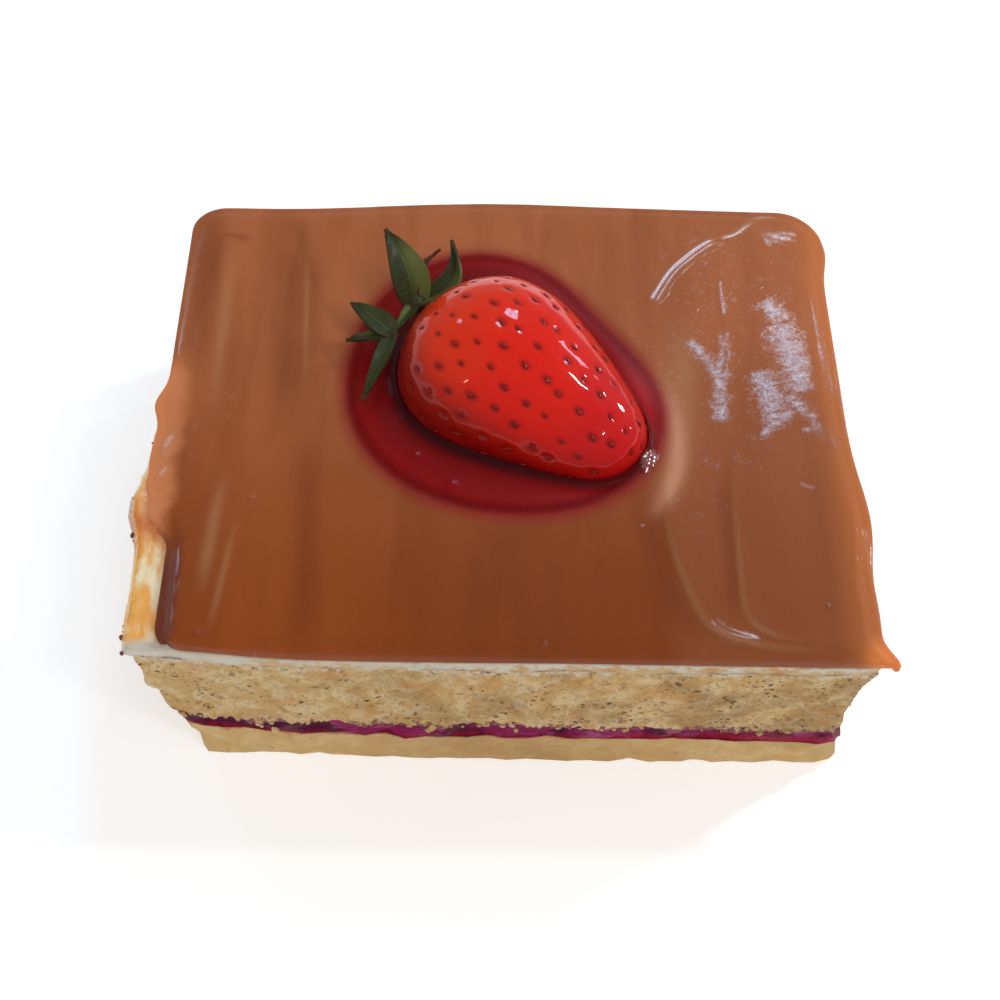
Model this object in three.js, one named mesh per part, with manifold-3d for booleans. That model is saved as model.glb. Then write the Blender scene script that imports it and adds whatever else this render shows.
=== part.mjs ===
// A slice of soaked milk cake. Two layers of sponge hold a berry filling between them, a thin
// coat of milk cream covers the upper sponge, and a glossy caramel glaze is spread on top. Half
// a strawberry lies on the glaze with its leafy calyx still on, in a pool of red fruit gel.
//
// Millimetres, +Z up. The origin is the middle of the flat base. +X runs along the cut front
// to the right, +Y runs from the front to the back.
import * as THREE from "three";
import { mergeVertices } from "three/addons/utils/BufferGeometryUtils.js";
import Module from "manifold-3d";

// ---- Driving dimensions ----
const WIDTH = 90;
const DEPTH = 75;

// Heights of the layers' meeting faces above the base.
const FILLING_FLOOR = 7.3;
const FILLING_ROOF = 10.9;
const CREAM_FLOOR = 26.6;
const GLAZE_FLOOR = 28.8;
const GLAZE_TOP = 31;

// The filling's faces drop by this much at the right side.
const FILLING_DROP = 0.9;

// The glaze runs past the cake's sides and hangs over them in places, but is flush at the cut
// front. Its corners are round where it wasn't cut.
const GLAZE_LIP = 0.7;
const GLAZE_CUT_LIP = 0.05;
const GLAZE_HANG = 1.3;
const GLAZE_BED_INSET = 0.5;
const GLAZE_CORNER = { backLeft: 4, backRight: 5, frontLeft: 3, frontRight: 0.5 };
const CAKE_CORNER = { backLeft: 3, backRight: 4, frontLeft: 1.2, frontRight: 0.8 };

// The lower left edge is pressed in, most of all at the front, and the lower right edge flares.
const TUCK_DEPTH = 3.4;
const TUCK_HEIGHT = 11;
const FOOT_FLARE = 0.9;

// The right side is drawn in at its waist, and flares under the glaze's tip.
const WAIST = { height: 17, reach: 6, depth: 0.9 };
const TIP_FLARE = { from: 20, to: 28, out: 1.5, reach: 9 };

// The cream swells out over the left side, over this stretch of its depth.
const CREAM_SWELL = 3.4;
const CREAM_SWELL_END = 9;
const CREAM_SWELL_FADE = 12;

// The half strawberry lies cut side down. Its axis points to the right and to the front.
const BERRY_LENGTH = 36;
const BERRY_RADIUS = 12.7;
const BERRY_ROUNDNESS = 0.92;
const BERRY_CENTRE = new THREE.Vector2(2, 2.4);
const BERRY_TURN = THREE.MathUtils.degToRad(-40);
const SEED_PIT = 0.35;

// The berry is fullest at its shoulder, and blunt at both ends.
const SHOULDER = 0.2;
const CHEEK = 0.06;
const BLUNTNESS = 0.86;

// The gel pool: its middle, mean radius, height where it climbs the berry, and height at its rim.
const POOL_CENTRE = new THREE.Vector2(-0.5, 5);
const POOL_RADIUS = 22;
const POOL_CLIMB = 2;
const POOL_RIM = 0.35;
const CLEARANCE = 0.3;

// Relief of the sponge's cut sides: coarse holes, fine crumb, and the share left at the cream.
const CRUMB_COARSE = 0.34;
const CRUMB_FINE = 0.24;
const CREAM_RELIEF = 0.2;

// The meeting faces of the layers are uneven within this distance of the sides.
const LEVEL_INSET = 5;

// Mesh steps: cells along and across the slice, and across the strawberry.
const COLUMNS = 32;
const ROWS = 28;
const BERRY_STEPS = 28;
const BERRY_ARC_STEPS = 32;
const POOL_STEPS = 56;

const HALF_WIDTH = WIDTH / 2;
const HALF_DEPTH = DEPTH / 2;
const GIRTH = 2 * (WIDTH + DEPTH);

const wasm = await Module();
wasm.setup();

// ---- Small shaping functions ----

const { lerp, smoothstep } = THREE.MathUtils;

// A rounded rise of height 1 at centre, fading over reach.
function bump(t, centre, reach) {
  return Math.exp(-(((t - centre) / reach) ** 2));
}

// An even, closed wave round the slice: distance is measured along its outline.
function wave(distance, turns, phase) {
  return Math.sin((2 * Math.PI * turns * distance) / GIRTH + phase);
}

// The uneven crumb of a cut sponge wall.
function crumbRelief(distance, z) {
  const coarse = wave(distance, 23, z * 0.45) * Math.sin(z * 0.62 + wave(distance, 9, 1.3) * 2);
  const fine = wave(distance, 61, z * 1.1 + 2) * Math.cos(z * 0.9 + distance * 0.21);
  return CRUMB_COARSE * coarse + CRUMB_FINE * fine;
}

// An uneven line round the slice, as a sum of waves.
function unevenLine(waves, distance) {
  return waves.reduce((sum, { height, turns, phase }) => sum + height * wave(distance, turns, phase), 0);
}

// The torn line between the upper sponge and the filling, and the quieter lines elsewhere.
const TORN_LINE = [
  { height: 0.5, turns: 17, phase: 0.4 },
  { height: 0.42, turns: 41, phase: 1.9 },
  { height: 0.3, turns: 67, phase: 4 },
];
const SETTLED_LINE = [
  { height: 0.28, turns: 13, phase: 2.2 },
  { height: 0.16, turns: 47, phase: 0.7 },
];
const CREAM_LINE = [{ height: 0.25, turns: 19, phase: 1.1 }];
const GLAZE_LINE = [{ height: 0.1, turns: 7, phase: 0.5 }];
const FILLING_SQUEEZE = [{ height: 0.35, turns: 29, phase: 0.9 }];
const HANG_LINE = [{ height: 0.5, turns: 11, phase: 2.4 }];
const FILLING_RECESS = 0.15;

// Bulges along a side: each stands out by out at its place and fades over its reach.
function bulges(list, t) {
  return list.reduce((sum, { at, reach, out }) => sum + out * bump(t, at, reach), 0);
}

// ---- The outline of the slice ----

// Points of the outline, anticlockwise from the front left corner. u and v run from -1 to 1
// across the slice and along it, and distance is measured along the plain rectangle.
function outlinePoints() {
  const points = [];
  const add = (u, v) => {
    const x = u * HALF_WIDTH;
    const y = v * HALF_DEPTH;
    let distance = x + HALF_WIDTH;
    if (u === 1) distance = WIDTH + y + HALF_DEPTH;
    if (v === 1) distance = WIDTH + DEPTH + HALF_WIDTH - x;
    if (u === -1 && v < 1) distance = 2 * WIDTH + DEPTH + HALF_DEPTH - y;
    if (u === -1 && v === -1) distance = 0;
    points.push({ u, v, distance });
  };
  for (let i = 0; i < COLUMNS; i++) add(-1 + (2 * i) / COLUMNS, -1);
  for (let j = 0; j < ROWS; j++) add(1, -1 + (2 * j) / ROWS);
  for (let i = COLUMNS; i > 0; i--) add(-1 + (2 * i) / COLUMNS, 1);
  for (let j = ROWS; j > 0; j--) add(-1, -1 + (2 * j) / ROWS);
  return points;
}

const OUTLINE = outlinePoints();

// Rounds the rectangle's corners: each corner's square of side radius becomes a quarter disc.
function roundCorner(x, y, corners) {
  const name = (y < 0 ? "front" : "back") + (x < 0 ? "Left" : "Right");
  const radius = corners[name];
  const over = new THREE.Vector2(Math.abs(x) - HALF_WIDTH + radius, Math.abs(y) - HALF_DEPTH + radius);
  if (over.x <= 0 || over.y <= 0) return [x, y];
  over.multiplyScalar(Math.max(over.x, over.y) / over.length());
  const roundX = HALF_WIDTH - radius + over.x;
  const roundY = HALF_DEPTH - radius + over.y;
  return [Math.sign(x) * roundX, Math.sign(y) * roundY];
}

// Moves the sides of the rectangle out by what each side's own function says.
function shapeSides(u, v, corners, sides) {
  const [x, y] = roundCorner(u * HALF_WIDTH, v * HALF_DEPTH, corners);
  const acrossX = u < 0 ? sides.left(y) : sides.right(y);
  const acrossY = v < 0 ? sides.front(x) : sides.back(x);
  return [x + u * acrossX, y + v * acrossY];
}

// The knife's cut along the front: it slants a little and runs back at the left.
const CUT_SLANT = 0.4;
const CUT_BULGES = [{ at: -HALF_WIDTH, reach: 11, out: -1.1 }];

function cutFront(x) {
  return (CUT_SLANT * x) / HALF_WIDTH + bulges(CUT_BULGES, x);
}

// The sponge's sides at height z, set in from the glaze's.
const CAKE_INSET = { left: 0.3, right: 0.6, back: 1.4 };
const BACK_CROWN = { at: 0, reach: 20, out: 0.8 };

function cakeSides(z) {
  const low = Math.max(0, 1 - z / TUCK_HEIGHT);
  const waist = WAIST.depth * bump(z, WAIST.height, WAIST.reach);
  const flare = FOOT_FLARE * low + TIP_FLARE.out * smoothstep(z, TIP_FLARE.from, TIP_FLARE.to);
  return {
    left: (y) => -CAKE_INSET.left - TUCK_DEPTH * low * (1 - smoothstep(y, -20, 30)),
    right: (y) => -CAKE_INSET.right - waist + flare * bump(y, -HALF_DEPTH, TIP_FLARE.reach),
    front: cutFront,
    back: (x) => -CAKE_INSET.back + bulges([BACK_CROWN], x),
  };
}

// The glaze's sides: it ran over the left side, drew back at the front of it, bulges on the
// right, and ends in a drawn-out tip at the front right corner.
const LEFT_SIDE = { out: 0.8, drawnBack: 3.5, from: -22, to: -12 };
const LEFT_BULGES = [{ at: -5, reach: 7, out: 1.4 }];
const RIGHT_SIDE = -0.3;
const RIGHT_BULGES = [
  { at: 30, reach: 4, out: 0.9 },
  { at: -17, reach: 8, out: 1.3 },
  { at: -31, reach: 4, out: 0.5 },
  { at: -HALF_DEPTH, reach: 2.4, out: 2.4 },
];
const BACK_SIDE = -0.9;
const BACK_BULGES = [{ at: 0, reach: 19, out: 1.3 }];

function glazeLeft(y) {
  const drawnBack = LEFT_SIDE.drawnBack * (1 - smoothstep(y, LEFT_SIDE.from, LEFT_SIDE.to));
  return LEFT_SIDE.out + bulges(LEFT_BULGES, y) - drawnBack;
}

const glazeSides = {
  left: glazeLeft,
  right: (y) => RIGHT_SIDE + bulges(RIGHT_BULGES, y),
  front: cutFront,
  back: (x) => BACK_SIDE + bulges(BACK_BULGES, x),
};

// How far the cream swells out on the left at depth y.
const CREAM_BULGES = [{ at: -14, reach: 4.5, out: 2 }];

function creamSwell(y) {
  const stretch = 1 - smoothstep(y, CREAM_SWELL_END - CREAM_SWELL_FADE, CREAM_SWELL_END);
  return stretch * (CREAM_SWELL + bulges(CREAM_BULGES, y));
}

// ---- Rings of the outline, and solids lofted through them ----

// One closed ring of the cake at a height, with its crumb relief. rise gives the ring's height
// at each point, so neighbours that share a ring meet face to face.
function cakeRing(rise, reliefShare) {
  return OUTLINE.map((point) => {
    const { u, v, distance } = point;
    const z = rise(point);
    const [x, y] = shapeSides(u, v, CAKE_CORNER, cakeSides(z));
    const relief = reliefShare * crumbRelief(distance, z);
    const outX = Math.abs(u) === 1 ? u * relief : 0;
    const outY = Math.abs(v) === 1 ? v * relief : 0;
    return new THREE.Vector3(x + outX, y + outY, z);
  });
}

// A ring on the glaze's outline, pushed out by lip(point) and set at height(point).
function glazeRing(lip, height) {
  return OUTLINE.map((point) => {
    const { u, v } = point;
    const [x, y] = shapeSides(u, v, GLAZE_CORNER, glazeSides);
    const out = lip(point, y);
    const outX = Math.abs(u) === 1 ? u * out : 0;
    const outY = Math.abs(v) === 1 ? v * out : 0;
    return new THREE.Vector3(x + outX, y + outY, height(point, x, y));
  });
}

// The middle of a meeting face is level: this ring bounds the level part.
function levelRing(z) {
  return OUTLINE.map(({ u, v }) => {
    return new THREE.Vector3(u * (HALF_WIDTH - LEVEL_INSET), v * (HALF_DEPTH - LEVEL_INSET), z);
  });
}

function geometryFrom(points, triangles) {
  const geometry = new THREE.BufferGeometry().setFromPoints(points);
  geometry.setIndex(triangles.flat());
  geometry.computeVertexNormals();
  return geometry;
}

// Walls between rings, bottom first. Each wall's diagonals lean alike.
function wallTriangles(ringCount, ringLength) {
  const triangles = [];
  for (let r = 0; r < ringCount - 1; r++) {
    for (let i = 0; i < ringLength; i++) {
      const next = (i + 1) % ringLength;
      const low = r * ringLength;
      const high = low + ringLength;
      triangles.push([low + i, low + next, high + next], [low + i, high + next, high + i]);
    }
  }
  return triangles;
}

// A meeting face: it slopes from the border ring to the level ring and is flat inside that.
// Both neighbours build it from the same triangles, so they touch and never cross.
function faceTriangles(border, level, middle, facesUp) {
  const triangles = [];
  for (let i = 0; i < OUTLINE.length; i++) {
    const next = (i + 1) % OUTLINE.length;
    triangles.push([border + i, border + next, level + next], [border + i, level + next, level + i]);
    triangles.push([middle, level + i, level + next]);
  }
  return facesUp ? triangles : triangles.map(([a, b, c]) => [a, c, b]);
}

// A solid lofted through rings, between two meeting faces with their middles at these heights.
function loft(rings, floorLevel, roofLevel) {
  const points = rings.flat();
  const triangles = wallTriangles(rings.length, OUTLINE.length);
  const addFace = (border, height, facesUp) => {
    const level = points.length;
    points.push(...levelRing(height), new THREE.Vector3(0, 0, height));
    triangles.push(...faceTriangles(border, level, level + OUTLINE.length, facesUp));
  };
  addFace(0, floorLevel, false);
  addFace((rings.length - 1) * OUTLINE.length, roofLevel, true);
  return geometryFrom(points, triangles);
}

// Rings between two faces of a sponge layer. bottom and top give the faces' heights.
function spongeRings(bottom, top, rows, topRelief) {
  const rings = [];
  for (let r = 0; r <= rows; r++) {
    const share = r === rows ? topRelief : 1;
    rings.push(cakeRing((point) => lerp(bottom(point), top(point), r / rows), share));
  }
  return rings;
}

// ---- Faces that neighbouring layers share ----

const fillingDrop = (point) => FILLING_DROP * smoothstep(point.u, 0.1, 1);
const fillingFloor = (point) => FILLING_FLOOR + unevenLine(SETTLED_LINE, point.distance) - fillingDrop(point);
const fillingRoof = (point) => FILLING_ROOF + unevenLine(TORN_LINE, point.distance) - fillingDrop(point);
const creamFloor = (point) => CREAM_FLOOR + unevenLine(CREAM_LINE, point.distance);

// The glaze's underside droops with it where it ran over the left side.
const LEFT_DROOP = { at: -4, reach: 9, out: 0.5 };

function glazeFloorHeight(point, x, y) {
  const droop = point.u === -1 ? bulges([LEFT_DROOP], y) : 0;
  return GLAZE_FLOOR + unevenLine(GLAZE_LINE, point.distance) - droop;
}

const glazeFloorRing = glazeRing(() => -GLAZE_BED_INSET, glazeFloorHeight);

// ---- Layers ----

function bottomSponge() {
  return loft(spongeRings(() => 0, fillingFloor, 4, 1), 0, FILLING_FLOOR);
}

// The filling is squeezed out a little in places and sits back in others.
function berryFilling() {
  const middle = cakeRing((point) => lerp(fillingFloor(point), fillingRoof(point), 0.5), 1);
  middle.forEach((p, i) => {
    const { u, v, distance } = OUTLINE[i];
    const squeeze = unevenLine(FILLING_SQUEEZE, distance) - FILLING_RECESS;
    if (Math.abs(u) === 1) p.x += u * squeeze;
    if (Math.abs(v) === 1) p.y += v * squeeze;
  });
  return loft([cakeRing(fillingFloor, 1), middle, cakeRing(fillingRoof, 1)], FILLING_FLOOR, FILLING_ROOF);
}

function topSponge() {
  return loft(spongeRings(fillingRoof, creamFloor, 5, CREAM_RELIEF), FILLING_ROOF, CREAM_FLOOR);
}

// The cream's wall stands on the sponge's edge and swells out over the left side, where its
// upper face shows beside the glaze. Each of its rings has a share of the swell and of the height.
const CREAM_SAG = 0.25;
const CREAM_RINGS = [
  { swellShare: 0.72, heightShare: 0.12 },
  { swellShare: 1, heightShare: 0.45 },
  { swellShare: 0.8, heightShare: 0.85 },
];

function creamRing({ swellShare, heightShare }) {
  return cakeRing(creamFloor, CREAM_RELIEF).map((p, i) => {
    const swell = OUTLINE[i].u === -1 ? swellShare * creamSwell(p.y) : 0;
    const sag = CREAM_SAG * swell * (1 - heightShare);
    const z = lerp(p.z, glazeFloorRing[i].z, heightShare) - sag;
    return new THREE.Vector3(p.x - swell, p.y, z);
  });
}

function milkCream() {
  const walls = CREAM_RINGS.map(creamRing);
  return loft([cakeRing(creamFloor, CREAM_RELIEF), ...walls, glazeFloorRing], CREAM_FLOOR, GLAZE_FLOOR);
}

// ---- The glaze ----

// A ridge left by the spatula, along part of an ellipse. from and to bound it by its angle.
const RIDGE_FADE = 8;

function spatulaRidge({ centre, radii, from, to, height, reach }) {
  const meanRadius = (radii[0] + radii[1]) / 2;
  return (x, y) => {
    const across = (x - centre[0]) / radii[0];
    const along = (y - centre[1]) / radii[1];
    const off = (Math.hypot(across, along) - 1) * meanRadius;
    const turn = (THREE.MathUtils.radToDeg(Math.atan2(along, across)) + 360) % 360;
    const begun = smoothstep(turn, from - RIDGE_FADE, from + RIDGE_FADE);
    const ended = smoothstep(turn, to - RIDGE_FADE, to + RIDGE_FADE);
    return height * begun * (1 - ended) * bump(off, 0, reach);
  };
}

const RIDGES = [
  spatulaRidge({ centre: [32, -14], radii: [12.5, 23.5], from: 180, to: 262, height: 0.6, reach: 1.8 }),
  spatulaRidge({ centre: [38, -17], radii: [9.2, 20.3], from: 176, to: 262, height: 0.5, reach: 1.6 }),
  spatulaRidge({ centre: [36, 18], radii: [15.5, 14], from: 98, to: 176, height: 0.55, reach: 1.8 }),
];

// Long strokes from front to back: each is a ridge at x, leaning by lean over the depth.
const STROKES = [
  { x: -39.5, lean: 0.01, height: 0.45, reach: 1.8 },
  { x: -27, lean: -0.08, height: 0.3, reach: 1.5 },
  { x: 29.8, lean: 0.05, height: 0.3, reach: 1.6 },
];

// A slow swell over the whole glaze.
const SWELL = { height: 0.18, acrossX: 0.16, acrossY: 0.11 };

// The glaze is level under the pool, so the gel and the berry lie flat on it.
const LEVEL_BEYOND_POOL = { from: 3, to: 8 };

function poolCover(x, y) {
  const from = Math.hypot(x - POOL_CENTRE.x, y - POOL_CENTRE.y);
  const angle = Math.atan2(y - POOL_CENTRE.y, x - POOL_CENTRE.x);
  return smoothstep(from - poolRadius(angle), LEVEL_BEYOND_POOL.from, LEVEL_BEYOND_POOL.to);
}

function glazeRelief(x, y) {
  const strokes = STROKES.map((s) => s.height * bump(x, s.x + s.lean * y, s.reach));
  const ridges = RIDGES.map((ridge) => ridge(x, y));
  const swell = SWELL.height * Math.sin(x * SWELL.acrossX + 0.6) * Math.cos(y * SWELL.acrossY - 0.4);
  return poolCover(x, y) * [...strokes, ...ridges, swell].reduce((sum, part) => sum + part);
}

// The top rounds off towards the sides, least at the cut, and steeply at the left run-over.
const EDGE_ROUND = { side: 0.75, cut: 0.15, reach: 1.7 };
const RUN_OVER = { at: -5, reach: 9, drop: 1.6, width: 3 };

function glazeTopHeight(u, v, x, y) {
  const fromSide = HALF_WIDTH * (1 - Math.abs(u));
  const fromEnd = HALF_DEPTH * (1 - Math.abs(v));
  const nearCut = v < 0 && fromEnd <= fromSide;
  const edgeDrop = nearCut ? EDGE_ROUND.cut : EDGE_ROUND.side;
  const round = edgeDrop * bump(Math.min(fromSide, fromEnd), 0, EDGE_ROUND.reach);
  const overLeft = RUN_OVER.drop * bump(y, RUN_OVER.at, RUN_OVER.reach) * bump(fromSide, 0, RUN_OVER.width);
  return GLAZE_TOP + glazeRelief(x, y) - round - (u < 0 ? overLeft : 0);
}

// The glaze's wall starts to round off at this share of its height.
const WALL_ROUND_FROM = 0.62;

// The glaze's top is a grid that shares its border with the outline, with its wall below.
function caramelGlaze() {
  const isCut = (point) => point.v === -1;
  const overCream = (point, y) => point.u === -1 && y < CREAM_SWELL_END;
  const hang = (point, y) => {
    const run = 0.5 + unevenLine(HANG_LINE, point.distance);
    return isCut(point) || overCream(point, y) ? 0 : GLAZE_HANG * run ** 3;
  };
  const lip = (point) => (isCut(point) ? GLAZE_CUT_LIP : GLAZE_LIP);
  const lowWall = glazeRing(lip, (point, x, y) => glazeFloorHeight(point, x, y) - hang(point, y));
  const highWall = glazeRing(lip, (point, x, y) => {
    const border = glazeTopHeight(point.u, point.v, x, y);
    return lerp(glazeFloorHeight(point, x, y), border, WALL_ROUND_FROM);
  });
  const rings = [glazeFloorRing, lowWall, highWall];
  const points = [...rings.flat(), ...levelRing(GLAZE_FLOOR), new THREE.Vector3(0, 0, GLAZE_FLOOR)];
  const triangles = wallTriangles(rings.length, OUTLINE.length);
  const level = rings.length * OUTLINE.length;
  triangles.push(...faceTriangles(0, level, level + OUTLINE.length, false));

  const grid = [];
  const gridStart = points.length;
  for (let j = 0; j <= ROWS; j++) {
    for (let i = 0; i <= COLUMNS; i++) {
      const u = -1 + (2 * i) / COLUMNS;
      const v = -1 + (2 * j) / ROWS;
      const [x, y] = shapeSides(u, v, GLAZE_CORNER, glazeSides);
      grid.push(new THREE.Vector3(x, y, glazeTopHeight(u, v, x, y)));
    }
  }
  points.push(...grid);
  const at = (i, j) => gridStart + j * (COLUMNS + 1) + i;
  for (let j = 0; j < ROWS; j++) {
    for (let i = 0; i < COLUMNS; i++) {
      triangles.push([at(i, j), at(i + 1, j), at(i + 1, j + 1)], [at(i, j), at(i + 1, j + 1), at(i, j + 1)]);
    }
  }

  // The wall's last ring meets the grid's border.
  const border = OUTLINE.map(({ u, v }) => {
    const i = Math.round(((u + 1) / 2) * COLUMNS);
    const j = Math.round(((v + 1) / 2) * ROWS);
    return at(i, j);
  });
  const wallTop = (rings.length - 1) * OUTLINE.length;
  border.forEach((high, i) => {
    const next = (i + 1) % border.length;
    triangles.push([wallTop + i, wallTop + next, border[next]], [wallTop + i, border[next], high]);
  });
  return geometryFrom(points, triangles);
}

// ---- The half strawberry ----

// The berry's radius and place along its axis, at angle turn from its stem end (0) to its tip.
function berryProfile(turn) {
  const along = (-BERRY_LENGTH / 2) * Math.cos(turn);
  const fullness = 1 + SHOULDER * Math.cos(turn) - CHEEK * Math.cos(3 * turn);
  return { along, radius: BERRY_RADIUS * fullness * Math.sin(turn) ** BLUNTNESS };
}

// A point of the berry in its own frame: axis along x, arc from 0 to PI over its back.
function berryPoint(turn, arc, pit) {
  const { along, radius } = berryProfile(turn);
  const reach = Math.max(0, radius - pit);
  return new THREE.Vector3(along, reach * Math.cos(arc), BERRY_ROUNDNESS * reach * Math.sin(arc));
}

// Seeds sit in pits, in staggered rows that stay clear of the cut face and the two ends.
function pitDepth(j, k, turn) {
  const stagger = j % 4 === 2 ? 2 : 0;
  const seeded = j % 2 === 0 && (k + stagger) % 4 === 0;
  const clear = k > 0 && k < BERRY_ARC_STEPS && Math.sin(turn) > 0.35;
  return seeded && clear ? SEED_PIT : 0;
}

function strawberryHalf() {
  const points = [];
  const triangles = [];
  for (let j = 1; j < BERRY_STEPS; j++) {
    for (let k = 0; k <= BERRY_ARC_STEPS; k++) {
      const turn = (Math.PI * j) / BERRY_STEPS;
      points.push(berryPoint(turn, (Math.PI * k) / BERRY_ARC_STEPS, pitDepth(j, k, turn)));
    }
  }
  const across = BERRY_ARC_STEPS + 1;
  const at = (j, k) => (j - 1) * across + k;
  const stem = points.push(berryPoint(0, 0, 0)) - 1;
  const tip = points.push(berryPoint(Math.PI, 0, 0)) - 1;
  for (let k = 0; k < BERRY_ARC_STEPS; k++) {
    triangles.push([stem, at(1, k + 1), at(1, k)], [tip, at(BERRY_STEPS - 1, k), at(BERRY_STEPS - 1, k + 1)]);
    for (let j = 1; j < BERRY_STEPS - 1; j++) {
      triangles.push([at(j, k), at(j, k + 1), at(j + 1, k + 1)], [at(j, k), at(j + 1, k + 1), at(j + 1, k)]);
    }
  }
  // The flat cut face: strips between the two sides.
  triangles.push([stem, at(1, 0), at(1, BERRY_ARC_STEPS)]);
  triangles.push([tip, at(BERRY_STEPS - 1, BERRY_ARC_STEPS), at(BERRY_STEPS - 1, 0)]);
  for (let j = 1; j < BERRY_STEPS - 1; j++) {
    const near = at(j, 0);
    const far = at(j, BERRY_ARC_STEPS);
    triangles.push([near, at(j + 1, 0), at(j + 1, BERRY_ARC_STEPS)], [near, at(j + 1, BERRY_ARC_STEPS), far]);
  }
  return geometryFrom(points, triangles);
}

// ---- The gel pool ----

// The pool's outline is a circle with three slow waves, each with its height and direction.
const POOL_WAVES = [
  { turns: 1, height: 1.7, towards: -132 },
  { turns: 2, height: 2, towards: -55 },
  { turns: 3, height: 1.1, towards: -25 },
];

function poolRadius(angle) {
  return POOL_WAVES.reduce((radius, { turns, height, towards }) => {
    return radius + height * Math.cos(turns * (angle - THREE.MathUtils.degToRad(towards)));
  }, POOL_RADIUS);
}

// The berry's outline on the glaze: turn runs once round it, from the stem end by the near side.
function berryOutline(turn) {
  const near = turn <= Math.PI;
  const { along, radius } = berryProfile(near ? turn : 2 * Math.PI - turn);
  return new THREE.Vector2(along, near ? -radius : radius);
}

// A point of the outline, moved out by the clearance and placed on the slice.
function berryShore(turn) {
  const step = 0.02;
  const before = berryOutline((turn + 2 * Math.PI - step) % (2 * Math.PI));
  const tangent = berryOutline((turn + step) % (2 * Math.PI)).sub(before).normalize();
  const out = new THREE.Vector2(tangent.y, -tangent.x).multiplyScalar(CLEARANCE);
  return berryOutline(turn).add(out).rotateAround(new THREE.Vector2(), BERRY_TURN).add(BERRY_CENTRE);
}

// A ring of gel round the berry: it climbs the berry and thins out to its rim. The shares are
// where its surface has points, from the rim (1) to the berry (0).
const POOL_HOLLOW = 2.2;
const POOL_SHARES = [0.985, 0.9, 0.7, 0.45, 0.2, 0];

function fruitGel() {
  const shore = [];
  const rim = [];
  for (let i = 0; i < POOL_STEPS; i++) {
    const from = berryShore((2 * Math.PI * i) / POOL_STEPS);
    const angle = Math.atan2(from.y - POOL_CENTRE.y, from.x - POOL_CENTRE.x);
    shore.push(from);
    const reach = poolRadius(angle);
    rim.push(new THREE.Vector2(reach * Math.cos(angle), reach * Math.sin(angle)).add(POOL_CENTRE));
  }
  const ring = (share, height) =>
    shore.map((from, i) => {
      const flat = from.clone().lerp(rim[i], share);
      return new THREE.Vector3(flat.x, flat.y, GLAZE_TOP + height);
    });
  const surface = (share) => POOL_RIM + (POOL_CLIMB - POOL_RIM) * (1 - share) ** POOL_HOLLOW;
  const rings = [ring(0, 0), ring(1, 0), ...POOL_SHARES.map((share) => ring(share, surface(share)))];
  const triangles = wallTriangles(rings.length, POOL_STEPS);
  const last = (rings.length - 1) * POOL_STEPS;
  for (let i = 0; i < POOL_STEPS; i++) {
    const next = (i + 1) % POOL_STEPS;
    triangles.push([last + i, last + next, next], [last + i, next, i]);
  }
  return geometryFrom(rings.flat(), triangles);
}

// ---- The calyx ----

const LEAF_THICKNESS = 0.5;
const LEAF_LENGTH_STEPS = 8;
const LEAF_HALF_STEPS = 2;
const LEAF_POINT = 0.06;
const LEAF_RIPPLE = 0.18;

// The width of a leaf at t along it, from its stalk (0) to its point (1), as a share of the widest.
function leafBlade(t) {
  const spread = Math.sin(Math.PI * Math.min(1, 0.16 + 0.84 * t) ** 0.8) ** 0.9;
  return Math.max(LEAF_POINT, spread);
}

// A sepal: a thin leaf from root to tip, arched up by arch, bowed to its left by bow and folded
// along its rib by fold.
function sepal({ root, tip, width, arch, bow, fold }) {
  const lengthSteps = LEAF_LENGTH_STEPS;
  const start = new THREE.Vector3(...root);
  const run = new THREE.Vector3(...tip).sub(start);
  const side = new THREE.Vector3(-run.y, run.x, 0).normalize();
  const up = new THREE.Vector3().crossVectors(run, side).normalize();
  const across = 2 * LEAF_HALF_STEPS + 1;
  const points = [];
  for (const face of [-0.5, 0.5]) {
    for (let i = 0; i <= lengthSteps; i++) {
      const t = i / lengthSteps;
      const half = (width / 2) * leafBlade(t);
      for (let k = -LEAF_HALF_STEPS; k <= LEAF_HALF_STEPS; k++) {
        const w = k / LEAF_HALF_STEPS;
        const ripple = LEAF_RIPPLE * Math.sin(t * 9 + w * 2) * Math.abs(w);
        const bend = arch * Math.sin(Math.PI * t) + fold * Math.abs(w) * half;
        const sideways = w * half + bow * Math.sin(Math.PI * t);
        const point = start.clone().addScaledVector(run, t).addScaledVector(side, sideways);
        points.push(point.addScaledVector(up, bend + ripple + face * LEAF_THICKNESS));
      }
    }
  }
  const layer = (lengthSteps + 1) * across;
  const triangles = [];
  const quad = (a, b, c, d) => triangles.push([a, b, c], [a, c, d]);
  for (let i = 0; i < lengthSteps; i++) {
    const row = i * across;
    for (let k = 0; k < across - 1; k++) {
      const a = row + k;
      quad(layer + a, layer + a + across, layer + a + across + 1, layer + a + 1);
      triangles.push([a, a + across + 1, a + across], [a, a + 1, a + across + 1]);
    }
    quad(row, row + across, layer + row + across, layer + row);
    quad(row + across - 1, layer + row + across - 1, layer + row + 2 * across - 1, row + 2 * across - 1);
  }
  const end = lengthSteps * across;
  for (let k = 0; k < across - 1; k++) {
    quad(k, layer + k, layer + k + 1, k + 1);
    quad(end + k, end + k + 1, layer + end + k + 1, layer + end + k);
  }
  return geometryFrom(points, triangles);
}

// The hub stands clear of the berry's stem end, on its axis and a little above the glaze.
const HUB_ALONG = -19.4;
const HUB_RISE = 3.6;
const HUB_RADIUS = 1.7;
const HUB = [
  BERRY_CENTRE.x + HUB_ALONG * Math.cos(BERRY_TURN),
  BERRY_CENTRE.y + HUB_ALONG * Math.sin(BERRY_TURN),
  GLAZE_TOP + HUB_RISE,
];

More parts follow.
